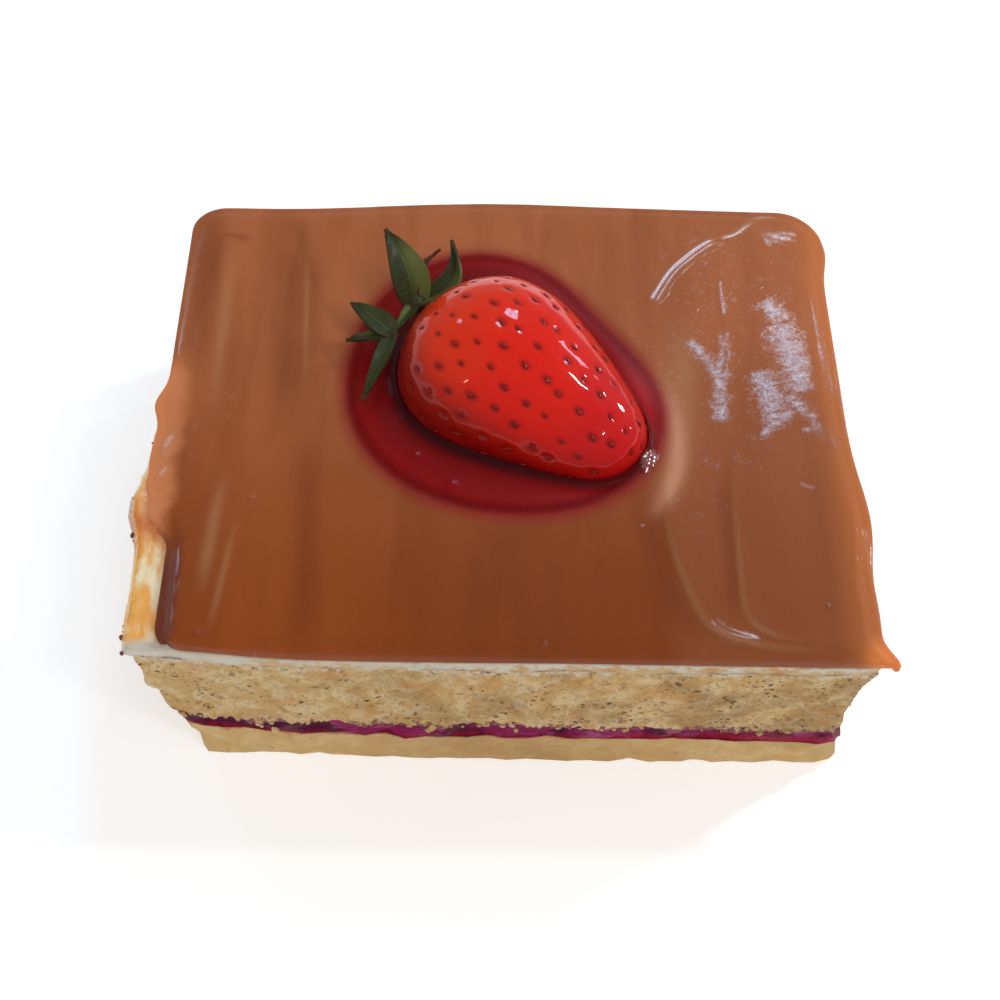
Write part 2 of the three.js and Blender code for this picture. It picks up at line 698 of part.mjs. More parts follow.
// The sepals on the near side grow from this lower knot, which a narrow sepal joins to the hub.
const KNOT = [-15.8, 9.2, 34.8];
const KNOT_RADIUS = 1;

const SEPALS = [
  { root: HUB, tip: [-17, 21.9, 41.9], width: 5.4, arch: 0.8, bow: -0.3, fold: 0.35 },
  { root: HUB, tip: [-8.3, 23.2, 38.6], width: 2.9, arch: -0.8, bow: -1.5, fold: 0.6 },
  { root: HUB, tip: KNOT, width: 1.8, arch: 0.5, bow: 0.2, fold: 0.4 },
  { root: KNOT, tip: [-21.6, 13.3, 36.5], width: 3.6, arch: 0.6, bow: 0.2, fold: 0.3 },
  { root: KNOT, tip: [-22.1, 8.1, 34.8], width: 2, arch: 0.5, bow: 0.3, fold: 0.3 },
  { root: KNOT, tip: [-19.5, -1.2, 33.6], width: 2.2, arch: 1.1, bow: 0.3, fold: 0.3 },
];

// A three.js geometry as a manifold-3d solid, its shared vertices merged.
function solidFrom(geometry) {
  const bare = new THREE.BufferGeometry().setAttribute("position", geometry.getAttribute("position"));
  bare.setIndex(geometry.index);
  const merged = mergeVertices(bare, 1e-4);
  const vertProperties = new Float32Array(merged.attributes.position.array);
  const triVerts = new Uint32Array(merged.index.array);
  return new wasm.Manifold(new wasm.Mesh({ numProp: 3, vertProperties, triVerts }));
}

function geometryOf(solid) {
  const mesh = solid.getMesh();
  const geometry = new THREE.BufferGeometry();
  geometry.setAttribute("position", new THREE.BufferAttribute(new Float32Array(mesh.vertProperties), 3));
  geometry.setIndex(new THREE.BufferAttribute(new Uint32Array(mesh.triVerts), 1));
  geometry.computeVertexNormals();
  return geometry;
}

function cap(radius, place) {
  const round = new THREE.SphereGeometry(radius, 12, 8);
  round.scale(0.75, 1.1, 0.9);
  round.rotateZ(BERRY_TURN);
  return solidFrom(round.translate(...place));
}

// The hub is a small cap on the berry's stem end, and the sepals grow out of it and the knot.
function calyx() {
  const hubs = cap(HUB_RADIUS, HUB).add(cap(KNOT_RADIUS, KNOT));
  return geometryOf(SEPALS.reduce((sum, leaf) => sum.add(solidFrom(sepal(leaf))), hubs));
}

// ---- Materials ----

function finish(color, roughness) {
  return new THREE.MeshStandardMaterial({ color, roughness, metalness: 0 });
}

const sponge = finish(0xd6b981, 0.9);
const filling = finish(0x8a2448, 0.5);
const cream = finish(0xeee0c4, 0.45);
const glaze = finish(0x96582f, 0.22);
const gel = finish(0x8c1014, 0.08);
const berry = finish(0xcf2417, 0.15);
const leaf = finish(0x4f6b32, 0.55);

// ---- The slice ----

const slice = new THREE.Group();

function place(name, geometry, material) {
  const mesh = new THREE.Mesh(geometry, material);
  mesh.name = name;
  slice.add(mesh);
  return mesh;
}

place("bottom_sponge", bottomSponge(), sponge);
place("berry_filling", berryFilling(), filling);
place("top_sponge", topSponge(), sponge);
place("milk_cream", milkCream(), cream);
place("caramel_glaze", caramelGlaze(), glaze);
place("fruit_gel", fruitGel(), gel);
place("strawberry_calyx", calyx(), leaf);

const half = place("strawberry_half", strawberryHalf(), berry);
half.position.set(BERRY_CENTRE.x, BERRY_CENTRE.y, GLAZE_TOP);
half.rotation.z = BERRY_TURN;

export default slice;
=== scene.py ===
"""A slice of soaked milk cake with a caramel glaze and half a strawberry in fruit gel."""

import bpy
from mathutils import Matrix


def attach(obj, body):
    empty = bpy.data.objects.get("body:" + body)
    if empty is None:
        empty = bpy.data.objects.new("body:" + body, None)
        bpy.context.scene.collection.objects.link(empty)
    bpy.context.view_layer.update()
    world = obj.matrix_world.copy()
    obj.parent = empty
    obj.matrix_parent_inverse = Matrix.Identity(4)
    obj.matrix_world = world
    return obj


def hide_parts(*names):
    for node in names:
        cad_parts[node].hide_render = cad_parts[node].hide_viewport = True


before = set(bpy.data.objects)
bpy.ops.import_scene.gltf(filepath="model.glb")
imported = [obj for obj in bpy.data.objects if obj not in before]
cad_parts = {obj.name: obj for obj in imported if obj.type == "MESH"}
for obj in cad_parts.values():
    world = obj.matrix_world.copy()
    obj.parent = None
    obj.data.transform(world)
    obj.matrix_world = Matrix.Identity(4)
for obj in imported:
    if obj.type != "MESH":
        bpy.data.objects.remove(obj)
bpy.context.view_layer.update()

import math
import random

import bpy
import numpy as np
from bpy.props import FloatProperty, FloatVectorProperty, IntProperty, PointerProperty
from mathutils import Matrix, Vector, noise
from mathutils.kdtree import KDTree

bl_info = {
    "name": "Milk cake slice",
    "version": (1, 0, 0),
    "blender": (4, 5, 0),
    "location": "3D View > Sidebar > Milk cake",
    "description": "Models a slice of soaked milk cake with caramel, fruit gel and a strawberry",
    "category": "Add Mesh",
}

# Lengths in the formulas below are in millimetres, with the slice's base at z = 0.
MM = 0.001
HALF_WIDTH = 45
HALF_DEPTH = 37.5
GLAZE_FLOOR = 28.8
GLAZE_TOP = 31


def rgb(red, green, blue):
    """A colour as a screen shows it, from 0 to 255, as the linear values that a shader takes."""
    return tuple(
        c / 12.92 if c <= 0.04045 else ((c + 0.055) / 1.055) ** 2.4
        for c in (red / 255, green / 255, blue / 255)
    )


# ---- What a user would change ----


def colour(name, description, default):
    return FloatVectorProperty(
        name=name, description=description, default=rgb(*default), subtype="COLOR", min=0, max=1
    )


def length(name, description, default):
    return FloatProperty(
        name=name, description=description, default=default, unit="LENGTH", subtype="DISTANCE", min=0
    )


class CakeSizes(bpy.types.PropertyGroup):
    lump_depth: length("Lump depth", "How far the cut sponge stands out and sits back", 0.0005)
    hole_depth: length("Hole depth", "How deep the sponge's larger holes are", 0.0004)
    tooth_length: length("Torn edge", "How far torn crumb hangs over the filling", 0.0015)
    wrinkle_height: length("Wrinkle height", "Height of the wrinkles in the glaze's skin", 0.00003)
    seed_spacing: length("Seed spacing", "Distance between the rows of seeds", 0.003)
    seed_length: length("Seed length", "Length of a strawberry seed", 0.00115)
    pit_depth: length("Pit depth", "How deep a seed's pit is", 0.00016)
    leaf_thickness: length("Leaf thickness", "Thickness of a sepal", 0.00042)
    crumb_count: IntProperty(name="Crumbs", description="Number of loose crumbs", default=420, min=0)


class CakeColours(bpy.types.PropertyGroup):
    sponge: colour("Sponge", "Crumb of the sponge", (200, 164, 110))
    sponge_pale: colour("Pale sponge", "Crumb where the milk whitens it", (232, 208, 164))
    sponge_dull: colour("Dull sponge", "Crumb where it is dense", (158, 116, 64))
    # Painted shade: the colour that darkens the crumb deep in its holes and pinholes.
    sponge_hole_shade: colour("Sponge holes", "Crumb deep in its holes", (84, 52, 24))
    sponge_soaked: colour("Soaked sponge", "Crumb where syrup has soaked in", (194, 128, 60))
    filling: colour("Filling", "Berry filling", (136, 28, 78))
    filling_dark: colour("Dark filling", "Filling where it is thick", (66, 8, 38))
    filling_streak: colour("Filling streaks", "Filling mixed with cream", (184, 92, 146))
    filling_red: colour("Red filling", "Juice along the filling's lower edge", (164, 26, 52))
    cream: colour("Cream", "Milk cream", (216, 202, 182))
    cream_shade: colour("Cream rim", "Cream where it is thin, on its sides", (188, 180, 168))
    syrup: colour("Syrup", "Syrup on the cream", (252, 184, 90))
    syrup_dark: colour("Dark syrup", "Syrup beside the glaze", (222, 122, 44))
    caramel: colour("Caramel", "Glaze where it is thick", (131, 61, 19))
    # Painted sheen: the glaze is painted paler towards the back, where it reflects more light.
    caramel_back_sheen: colour("Pale caramel", "Glaze mixed with more milk", (170, 97, 57))
    # Painted highlights on the glaze's crests and scrapes, and its paler tan streaks.
    caramel_tan_highlight: colour("Tan caramel", "Glaze in thin streaks and crests", (178, 128, 88))
    caramel_dark: colour("Dark caramel", "Glaze in the shade of its ridges", (108, 46, 14))
    caramel_thin: colour("Thin caramel", "Glaze where light comes through it", (218, 124, 62))
    stain: colour("Stain", "Glaze stained by the gel", (140, 34, 30))
    gel: colour("Gel", "Fruit gel where it is thin", (140, 14, 12))
    gel_deep: colour("Deep gel", "Fruit gel where it is deep", (84, 8, 14))
    berry: colour("Strawberry", "Skin of the strawberry", (222, 26, 4))
    berry_shoulder: colour("Strawberry shoulder", "Skin near the stem", (222, 54, 12))
    berry_shade: colour("Strawberry tip", "Skin near the tip and the cut", (200, 14, 18))
    seed: colour("Seeds", "Seeds of the strawberry", (124, 16, 10))
    leaf: colour("Leaves", "Sepals", (48, 52, 22))
    leaf_rib: colour("Leaf ribs", "Ribs of the sepals", (96, 110, 60))
    leaf_dry: colour("Dry leaf", "Dried tips and roots of the sepals", (92, 48, 32))


# ---- Materials ----


def maths(operation, flipped=False):
    """A method of a socket that adds a Math node."""

    def method(self, *others):
        values = (*others, self) if flipped else (self, *others)
        return self.paint.node("Math", {"operation": operation}, dict(enumerate(values)))

    return method


class Wire:
    """A node's socket. Sums on it add Math nodes."""

    def __init__(self, paint, socket):
        self.paint = paint
        self.socket = socket

    __add__ = maths("ADD")
    __radd__ = maths("ADD", flipped=True)
    __sub__ = maths("SUBTRACT")
    __rsub__ = maths("SUBTRACT", flipped=True)
    __mul__ = maths("MULTIPLY")
    __rmul__ = maths("MULTIPLY", flipped=True)
    __abs__ = maths("ABSOLUTE")


class Paint:
    """A material in the making."""

    def __init__(self, name):
        self.material = bpy.data.materials.new(name)
        self.material.use_nodes = True
        self.tree = self.material.node_tree
        self.tree.nodes.clear()
        self.place = self.node("TexCoord", output="Object")
        self.x, self.y, self.z = self.axes(self.place)

    def node(self, kind, settings=None, inputs=None, output=0):
        """Adds a node, sets it up, fills or links its sockets, and gives one of its outputs."""
        made = self.tree.nodes.new("ShaderNode" + kind)
        for name, value in (settings or {}).items():
            setattr(made, name, value)
        for name, value in (inputs or {}).items():
            socket = made.inputs[name]
            if isinstance(value, Wire):
                self.tree.links.new(value.socket, socket)
            elif socket.type == "RGBA":
                socket.default_value = (*value, 1)
            else:
                socket.default_value = value
        return Wire(self, made.outputs[output]) if made.outputs else None

    def axes(self, vector):
        """The three parts of a vector."""
        outputs = self.node("SeparateXYZ", inputs={"Vector": vector}).socket.node.outputs
        return [Wire(self, part) for part in outputs]

    def mix(self, factor, first, second):
        """first where factor is 0, second where it is 1."""
        settings = {"data_type": "RGBA", "clamp_factor": True}
        return self.node("Mix", settings, {0: factor, 6: first, 7: second}, output=2)

    def layers(self, base, *coats):
        """Lays coats over a base colour. Each is its cover, from 0 to 1, and its colour."""
        for cover, tint in coats:
            base = self.mix(cover, base, tint)
        return base

    def step(self, value, low, high):
        """0 up to low, 1 from high, and smooth between them."""
        inputs = {"Value": value, "From Min": low, "From Max": high}
        return self.node("MapRange", {"interpolation_type": "SMOOTHSTEP"}, inputs)

    def fade(self, value, low, high):
        """1 up to low, 0 from high, and smooth between them."""
        return 1 - self.step(value, low, high)

    def hill(self, value, centre, reach):
        """1 at centre, fading to 0 at reach from it."""
        return self.fade(abs(value - centre), 0, reach)

    def stretched(self, *scale):
        """The place with its axes scaled: a pattern gets longer along an axis with a low scale."""
        return self.node("Mapping", inputs={"Vector": self.place, "Scale": scale})

    def clouds(self, size, detail=3, roughness=0.5, distortion=0, place=None):
        """Noise whose patches are about size across, in metres."""
        inputs = {
            "Vector": place or self.place,
            "Scale": 1 / size,
            "Detail": detail,
            "Roughness": roughness,
            "Distortion": distortion,
        }
        return self.node("TexNoise", inputs=inputs)

    def cells(self, size, place=None):
        """Distance from the nearest of points that lie about size apart."""
        return self.node("TexVoronoi", inputs={"Vector": place or self.place, "Scale": 1 / size})

    def spot(self, centre, radius):
        """1 at a place of the surface, fading to 0 at radius from it. Both are in millimetres."""
        inputs = {0: self.place, 1: tuple(c * MM for c in centre)}
        away = self.node("VectorMath", {"operation": "DISTANCE"}, inputs, output="Value")
        return self.fade(away, 0.35 * radius * MM, radius * MM)

    def relief(self, height, depth):
        """A bump of that depth, in metres."""
        inputs = {"Height": height, "Strength": 1, "Distance": depth}
        return self.node("Bump", inputs=inputs, output="Normal")

    def attribute(self, name):
        return self.node("Attribute", {"attribute_name": name}, output="Fac")

    def finish(self, piece, soft=None, **inputs):
        """Puts the finish on a piece. Its inputs are named as the shader's, with _ for a space.

        soft is how much light spreads under the surface, its reach by colour, and its scale.
        """
        values = {name.replace("_", " "): value for name, value in inputs.items()}
        if soft:
            values.update(zip(("Subsurface Weight", "Subsurface Radius", "Subsurface Scale"), soft))
        shader = self.node("BsdfPrincipled", inputs=values)
        self.node("OutputMaterial", inputs={"Surface": shader})
        piece.data.materials.clear()
        piece.data.materials.append(self.material)


# ---- Modelling helpers ----


def deselect_all():
    if bpy.context.object and bpy.context.object.mode != "OBJECT":
        bpy.ops.object.mode_set(mode="OBJECT")
    bpy.ops.object.select_all(action="DESELECT")


def activate(piece):
    deselect_all()
    piece.select_set(True)
    bpy.context.view_layer.objects.active = piece


def named(name):
    """Names the piece that was just made, and gives it."""
    piece = bpy.context.object
    piece.name = piece.data.name = name
    return piece


def in_edit_mode(piece, mode, *steps):
    """Runs steps in edit mode on what is selected of the piece. mode is VERT, EDGE or FACE."""
    activate(piece)
    bpy.context.tool_settings.mesh_select_mode = [mode == m for m in ("VERT", "EDGE", "FACE")]
    bpy.ops.object.mode_set(mode="EDIT")
    for step in steps:
        step()
    bpy.ops.object.mode_set(mode="OBJECT")


def close_mesh(piece, distance=0.000001, outward=True):
    """Merges what meets, and turns the faces outwards."""
    in_edit_mode(
        piece,
        "VERT",
        lambda: bpy.ops.mesh.select_all(action="SELECT"),
        lambda: bpy.ops.mesh.remove_doubles(threshold=distance),
        lambda: outward and bpy.ops.mesh.normals_make_consistent(inside=False),
    )


def cap_openings(piece):
    """Fills the open rims of a mesh, and turns the faces outwards."""
    in_edit_mode(
        piece,
        "VERT",
        lambda: bpy.ops.mesh.select_all(action="DESELECT"),
        lambda: bpy.ops.mesh.select_non_manifold(extend=False),
        lambda: bpy.ops.mesh.fill(),
        lambda: bpy.ops.mesh.select_all(action="SELECT"),
        lambda: bpy.ops.mesh.normals_make_consistent(inside=False),
    )


def points_of(piece):
    """The vertices' places in millimetres, as rows of an array."""
    flat = np.empty(len(piece.data.vertices) * 3)
    piece.data.vertices.foreach_get("co", flat)
    return flat.reshape(-1, 3) / MM


def put_points(piece, points):
    piece.data.vertices.foreach_set("co", (np.asarray(points) * MM).ravel())
    piece.data.update()


def shaped_grid(name, columns, rows, place):
    """A grid of cells that place(across, along), with both from 0 to 1, puts in millimetres."""
    deselect_all()
    bpy.ops.mesh.primitive_grid_add(x_subdivisions=columns, y_subdivisions=rows, size=1, calc_uvs=True)
    piece = named(name)
    flat = points_of(piece) * MM
    put_points(piece, np.stack(place(flat[:, 0] + 0.5, flat[:, 1] + 0.5), axis=1))
    return piece


def joined(name, pieces):
    activate(pieces[0])
    for piece in pieces:
        piece.select_set(True)
    bpy.ops.object.join()
    return named(name)


def copy_of_node(node, name):
    """A copy of a solid of the frame, with its loose triangles merged."""
    activate(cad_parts[node])
    bpy.ops.object.duplicate()
    piece = named(name)
    piece.parent = None
    for key in list(piece.keys()):
        del piece[key]
    close_mesh(piece, outward=False)
    return piece


def placed_copy(first, matrix):
    made = first.copy()
    made.data = first.data.copy()
    made.data.transform(matrix)
    bpy.context.collection.objects.link(made)
    return made


def apply_modifiers(piece):
    activate(piece)
    for modifier in list(piece.modifiers):
        bpy.ops.object.modifier_apply(modifier=modifier.name)


def smooth(piece, angle=180):
    activate(piece)
    bpy.ops.object.shade_smooth_by_angle(angle=math.radians(angle), keep_sharp_edges=False)


def settle(piece, node):
    """The finished piece belongs to the slice and stands for a solid of the frame."""
    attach(piece, "root")
    if node:
        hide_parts(node)


def nearest_finder(places):
    """A function that tells which of places lies nearest to a point, by its number."""
    tree = KDTree(len(places))
    for number, place in enumerate(places):
        tree.insert(place, number)
    tree.balance()
    return lambda point: tree.find(point)[1]


# ---- Shaping functions ----


def bump(value, centre, reach):
    """A rounded rise of height 1 at centre, fading over reach."""
    return np.exp(-(((value - centre) / reach) ** 2))


def dab(x, y, place, reach):
    """A rounded rise of height 1 at a place in plan."""
    return bump(np.hypot(x - place[0], y - place[1]), 0, reach)


def ease(value, low, high):
    """0 up to low, 1 from high, and smooth between them."""
    share = np.clip((value - low) / (high - low), 0, 1)
    return share * share * (3 - 2 * share)


def grain(points, size, seed=0, octaves=1):
    """Noise from about -1 to 1 at each point, with patches about size across, in millimetres."""
    shift = Vector((seed * 7.3, seed * 3.1, seed * 5.7))
    return np.array([
        noise.fractal(Vector(p) / size + shift, 1, 2, octaves, noise_basis="PERLIN_ORIGINAL")
        for p in points
    ])


def in_plan(x, y):
    """Places at height 0, as rows of an array."""
    return np.stack([x, y, np.zeros_like(x)], axis=1)


def curve_through(points, pieces=8):
    """A smooth curve through points in plan, as places close together."""
    first, *_, last = points = [np.array(point, dtype=float) for point in points]
    ends = [2 * first - points[1], *points, 2 * last - points[-2]]
    places = []
    for a, b, c, d in zip(ends, ends[1:], ends[2:], ends[3:]):
        bend = 2 * a - 5 * b + 4 * c - d
        twist = 3 * b - 3 * c + d - a
        for t in np.arange(pieces) / pieces:
            places.append(0.5 * (2 * b + (c - a) * t + bend * t ** 2 + twist * t ** 3))
    return [*places, last]


def off_curve(x, y, points):
    """How far places lie to the left of a smooth curve, and their share of the way along it."""
    places = curve_through(points)
    nearest = np.full(x.shape, np.inf)
    left = np.zeros(x.shape)
    share = np.zeros(x.shape)
    for k, (start, end) in enumerate(zip(places, places[1:])):
        run = end - start
        along = np.clip(((x - start[0]) * run[0] + (y - start[1]) * run[1]) / (run @ run), 0, 1)
        off_x = x - start[0] - along * run[0]
        off_y = y - start[1] - along * run[1]
        away = np.hypot(off_x, off_y)
        closer = away < nearest
        nearest = np.where(closer, away, nearest)
        left = np.where(closer, np.sign(run[0] * off_y - run[1] * off_x) * away, left)
        share = np.where(closer, (k + along) / (len(places) - 1), share)
    return left, share


def tapered(share, start, end):
    """1 along a curve, fading to 0 at its ends: up to the share start, and from the share end."""
    return ease(share, 0, start) * (1 - ease(share, end, 1))


def marks(x, y, curves, taper):
    """1 along each curve and 0 off it. A curve comes with its half width, and its ends taper."""
    cover = np.zeros(x.shape)
    for half_width, points in curves:
        away, share = off_curve(x, y, points)
        cover = np.maximum(cover, tapered(share, taper, 1 - taper) * bump(away, 0, half_width))
    return cover


# In millimetres, longer than any of the curves.
CURVE_GAP = 60


def beside_nearest(x, y, curves):
    """How far places lie to the left of the nearest of the curves, and how far along it.

    Each curve's lengths start a gap further than the last's, so that no two share a pattern.
    """
    nearest = np.full(x.shape, np.inf)
    off = np.zeros(x.shape)
    along = np.zeros(x.shape)
    for k, (half_width, points) in enumerate(curves):
        left, share = off_curve(x, y, points)
        run = sum(math.dist(a, b) for a, b in zip(points, points[1:]))
        away = np.abs(left) / half_width
        closer = away < nearest
        nearest = np.where(closer, away, nearest)
        off = np.where(closer, left, off)
        along = np.where(closer, share * run + CURVE_GAP * k, along)
    return off, along


def keep_values(piece, name, values):
    """Stores a number for each point of a piece, which its material reads."""
    layer = piece.data.attributes.new(name, "FLOAT", "POINT")
    layer.data.foreach_set("value", np.broadcast_to(values, len(piece.data.vertices)).astype(float))


# ---- The sponge, the filling and the cream ----

# The steepest normal of a wall, and how far above the floor its relief is whole.
WALL_NORMAL = 0.75
FLOOR_FADE = 0.8


def is_wall(face):
    """Whether a face of a layer stands upright, as its sides do."""
    return abs(face.normal.z) < WALL_NORMAL


def divide_walls(piece, cuts):
    piece.data.polygons.foreach_set("select", [is_wall(face) for face in piece.data.polygons])
    in_edit_mode(piece, "FACE", lambda: bpy.ops.mesh.subdivide(number_cuts=cuts, smoothness=0))


def group_walls(piece, margin):
    """A vertex group of the walls. It fades to the margin at a layer's rims and to 0 at the floor."""
    walls = piece.vertex_groups.new(name="walls")
    inside = set()
    rim = set()
    for face in piece.data.polygons:
        (inside if is_wall(face) else rim).update(face.vertices)
    for index in inside:
        from_floor = piece.data.vertices[index].co.z / MM
        share = margin if index in rim else 1
        walls.add([index], min(share, from_floor / FLOOR_FADE), "REPLACE")
    return walls.name


def lower_the_rim(piece, depth):
    """Pulls the wall's lower rim down into torn teeth of up to that depth, in millimetres."""
    points = points_of(piece)
    wall = np.zeros(len(points), dtype=bool)
    base = np.zeros(len(points), dtype=bool)
    for face in piece.data.polygons:
        (wall if is_wall(face) else base)[list(face.vertices)] = True
    rims = np.flatnonzero(wall & base & (points[:, 2] < points[:, 2].mean()))
    nearest_rim = nearest_finder(points[rims] * (1, 1, 0))
    sides = np.flatnonzero(wall)
    flat = points[sides] * (1, 1, 0)
    rim_height = np.array([points[rims[nearest_rim(place)], 2] for place in flat])
    above = points[sides, 2] - rim_height
    tear = 0.5 * grain(flat, 2.6, seed=6) + 0.6 * grain(flat, 0.8, seed=7, octaves=2) + 0.1
    drop = depth * np.clip(tear * 1.5, 0, 1) * (1 - ease(above, 0, 1.8)) * (above < 3)
    points[sides, 2] -= drop
    put_points(piece, points)


def swell_corner(piece):
    """Lets the upper sponge bulge out to the left at its front, under the cream's swell."""
    points = points_of(piece)
    x, y, z = points.T
    lobes = 0.45 * np.sin(0.95 * z + 0.12 * y)
    points[:, 0] -= (1.7 + lobes) * ease(-x, 38, 45) * ease(-y, 2, 30) * ease(z, 9, 20)
    put_points(piece, points)


def straighten_foot(piece):
    """Draws the front wall's foot to a smooth line, as a knife leaves it."""
    points = points_of(piece)
    x, y, z = points.T
    middles = np.arange(-39, 40, 3)
    feet = [y[(z < 0.05) & (np.abs(x - middle) < 1.5)].min(initial=0) for middle in middles]
    found = np.array(feet) < -25
    line = np.polyval(np.polyfit(middles[found], np.array(feet)[found], 2), x)
    share = (y < line + 2.5) * (1 - ease(np.abs(x), 38, 41)) * (1 - ease(z, 0, 2.5))
    at_foot = np.interp(x, middles[found], np.array(feet)[found])
    points[:, 1] += share * (line - at_foot)
    points[:, 1] -= 0.8 * bump(x, -42, 4) * (y < -30) * (1 - ease(z, 0, 5))
    put_points(piece, points)


def dent(piece, name, kind, size, depth, middle, group, ramp=(), **settings):
    """Moves the grouped surface by a solid texture. middle is the texture's level that stays."""
    texture = bpy.data.textures.new(name, kind)
    texture.noise_scale = size
    texture.use_color_ramp = bool(ramp)
    for key, value in settings.items():
        setattr(texture, key, value)
    if ramp:
        for element, (position, level) in zip(texture.color_ramp.elements, ramp):
            element.position = position
            element.color = (level, level, level, 1)
    modifier = piece.modifiers.new(name, "DISPLACE")
    modifier.texture = texture
    modifier.texture_coords = "LOCAL"
    modifier.strength = depth
    modifier.mid_level = middle
    modifier.vertex_group = group


def crumb_colour(paint, colours, open_crumb):
    """The colour and the height of cut sponge, with painted shade in its holes and pinholes. open_crumb
    is how strong its pinholes are.
    """
    pale = paint.step(paint.clouds(0.0034, detail=6, roughness=0.65), 0.46, 0.58)
    dull = paint.step(paint.clouds(0.0034, detail=6, roughness=0.75), 0.5, 0.66)
    soaked = paint.step(paint.clouds(0.0062, detail=4, distortion=0.4), 0.52, 0.68)
    broad = paint.step(paint.clouds(0.0085, detail=4, roughness=0.6), 0.42, 0.6)
    clusters = paint.step(paint.clouds(0.0048), 0.46, 0.58)
    wobble = paint.clouds(0.0012)
    wide = paint.cells(0.0015, place=paint.stretched(1, 1, 1.3)) + 0.35 * (wobble - 0.5)
    fine = paint.cells(0.00075) + 0.3 * (wobble - 0.5)
    holes = paint.fade(wide, 0.1, 0.27) * clusters
    pinholes = paint.fade(fine, 0.1, 0.3) * (0.35 + 0.65 * clusters)
    # Painted shade where the crumb was pressed in by the displacement.
    hollow_shade = paint.step(paint.attribute("hollow_shade"), 0.35, 0.95)
    tint = paint.layers(
        colours.sponge,
        (pale * 0.7, colours.sponge_pale),
        (dull * 0.5, colours.sponge_dull),
        (broad * 0.5 * paint.step(paint.x, -0.04, 0.005), rgb(140, 102, 58)),
        (soaked * (0.35 + 0.35 * dull), colours.sponge_soaked),
        # Painted shade in the pressed-in crumb and in the holes and pinholes.
        (hollow_shade * 0.45, colours.sponge_hole_shade),
        ((holes * 0.7 + pinholes * 0.5) * open_crumb, colours.sponge_hole_shade),
    )
    height = wobble * 0.5 + 0.4 * paint.clouds(0.0005) - holes * 0.8 - pinholes * 0.5
    return tint, height


def finish_sponge(paint, piece, tint, height, depth):
    paint.finish(
        piece,
        Base_Color=tint,
        Roughness=0.75 + 0.1 * paint.clouds(0.003),
        Normal=paint.relief(height, depth),
        soft=(0.15, (1, 0.7, 0.4), 0.0012),
        Specular_IOR_Level=0.12,
    )


def record_hollows(piece, before):
    """Keeps how far each point was pressed in, for the painted shade where the crumb sinks in."""
    away = points_of(piece) - before
    directions = np.empty(len(piece.data.vertices) * 3)
    piece.data.vertices.foreach_get("normal", directions)
    inward = -(away * directions.reshape(-1, 3)).sum(axis=1)
    keep_values(piece, "hollow_shade", np.clip(0.35 + inward / 1.1, 0, 1))


class CAKE_OT_sponge_layers(bpy.types.Operator):
    """Models the two layers of sponge, with the open crumb of their cut sides"""

    bl_idname = "cake.sponge_layers"
    bl_label = "Sponge layers"

    def execute(self, context):
        colours = context.scene.cake_colours
        lower = self.layer(context, "bottom_sponge", "lower_sponge_crumb", 6, 0.25)
        self.paint_lower(lower, colours)
        upper = self.layer(context, "top_sponge", "upper_sponge_crumb", 8, 1)
        self.paint_upper(upper, colours)
        return {"FINISHED"}

    def layer(self, context, node, name, cuts, coarse):
        sizes = context.scene.cake_sizes
        piece = copy_of_node(node, name)
        divide_walls(piece, cuts)
        walls = group_walls(piece, 0.35)
        if node == "top_sponge":
            swell_corner(piece)
            lower_the_rim(piece, sizes.tooth_length / MM)
        else:
            straighten_foot(piece)
        before = points_of(piece)
        holes = {"ramp": ((0.05, 0), (0.3, 1))}
        dent(piece, "lumps", "CLOUDS", 0.0055, sizes.lump_depth * coarse, 0.5, walls, noise_depth=2)
        dent(piece, "holes", "VORONOI", 0.0024, sizes.hole_depth * coarse, 0.9, walls, **holes)
        dent(piece, "tufts", "CLOUDS", 0.0014, 0.0004 * coarse, 0.5, walls, noise_depth=2)
        dent(piece, "grain", "CLOUDS", 0.0006, 0.0002 * coarse, 0.5, walls, noise_depth=2)
        apply_modifiers(piece)
        record_hollows(piece, before)
        smooth(piece, 75)
        settle(piece, node)
        return piece

    def paint_lower(self, piece, colours):
        """Smooth, dense crumb, with juice from the filling at its top."""
        paint = Paint(piece.name)
        tint, height = crumb_colour(paint, colours, 0.2)
        ragged = paint.clouds(0.0012, place=paint.stretched(0.6, 0.6, 1))
        juice = paint.step(paint.z + 0.0022 * (ragged - 0.5), 0.0068, 0.0074)
        tint = paint.layers(
            tint,
            (0.55, rgb(210, 174, 118)),
            (0.35 * paint.hill(paint.x, 0, 0.03), colours.sponge_dull),
            (juice * 0.6, colours.filling_red),
        )
        finish_sponge(paint, piece, tint, height, 0.0002)

    def paint_upper(self, piece, colours):
        """Open crumb, with cream soaked in at its top and filling torn into its lower edge."""
        paint = Paint(piece.name)
        tint, height = crumb_colour(paint, colours, 1)
        ragged = paint.clouds(0.0011, detail=4)
        milk = paint.step(paint.z + 0.0045 * (ragged - 0.5), 0.0258, 0.0268)
        spikes = paint.clouds(0.0008, place=paint.stretched(1, 1, 0.45))
        tufts = paint.fade(paint.z + 0.006 * (spikes - 0.5) + 0.003 * (ragged - 0.5), 0.0103, 0.0111)
        tint = paint.layers(tint, (milk * 0.75, colours.cream), (tufts * 0.8, rgb(124, 44, 84)))
        finish_sponge(paint, piece, tint, height, 0.0007)


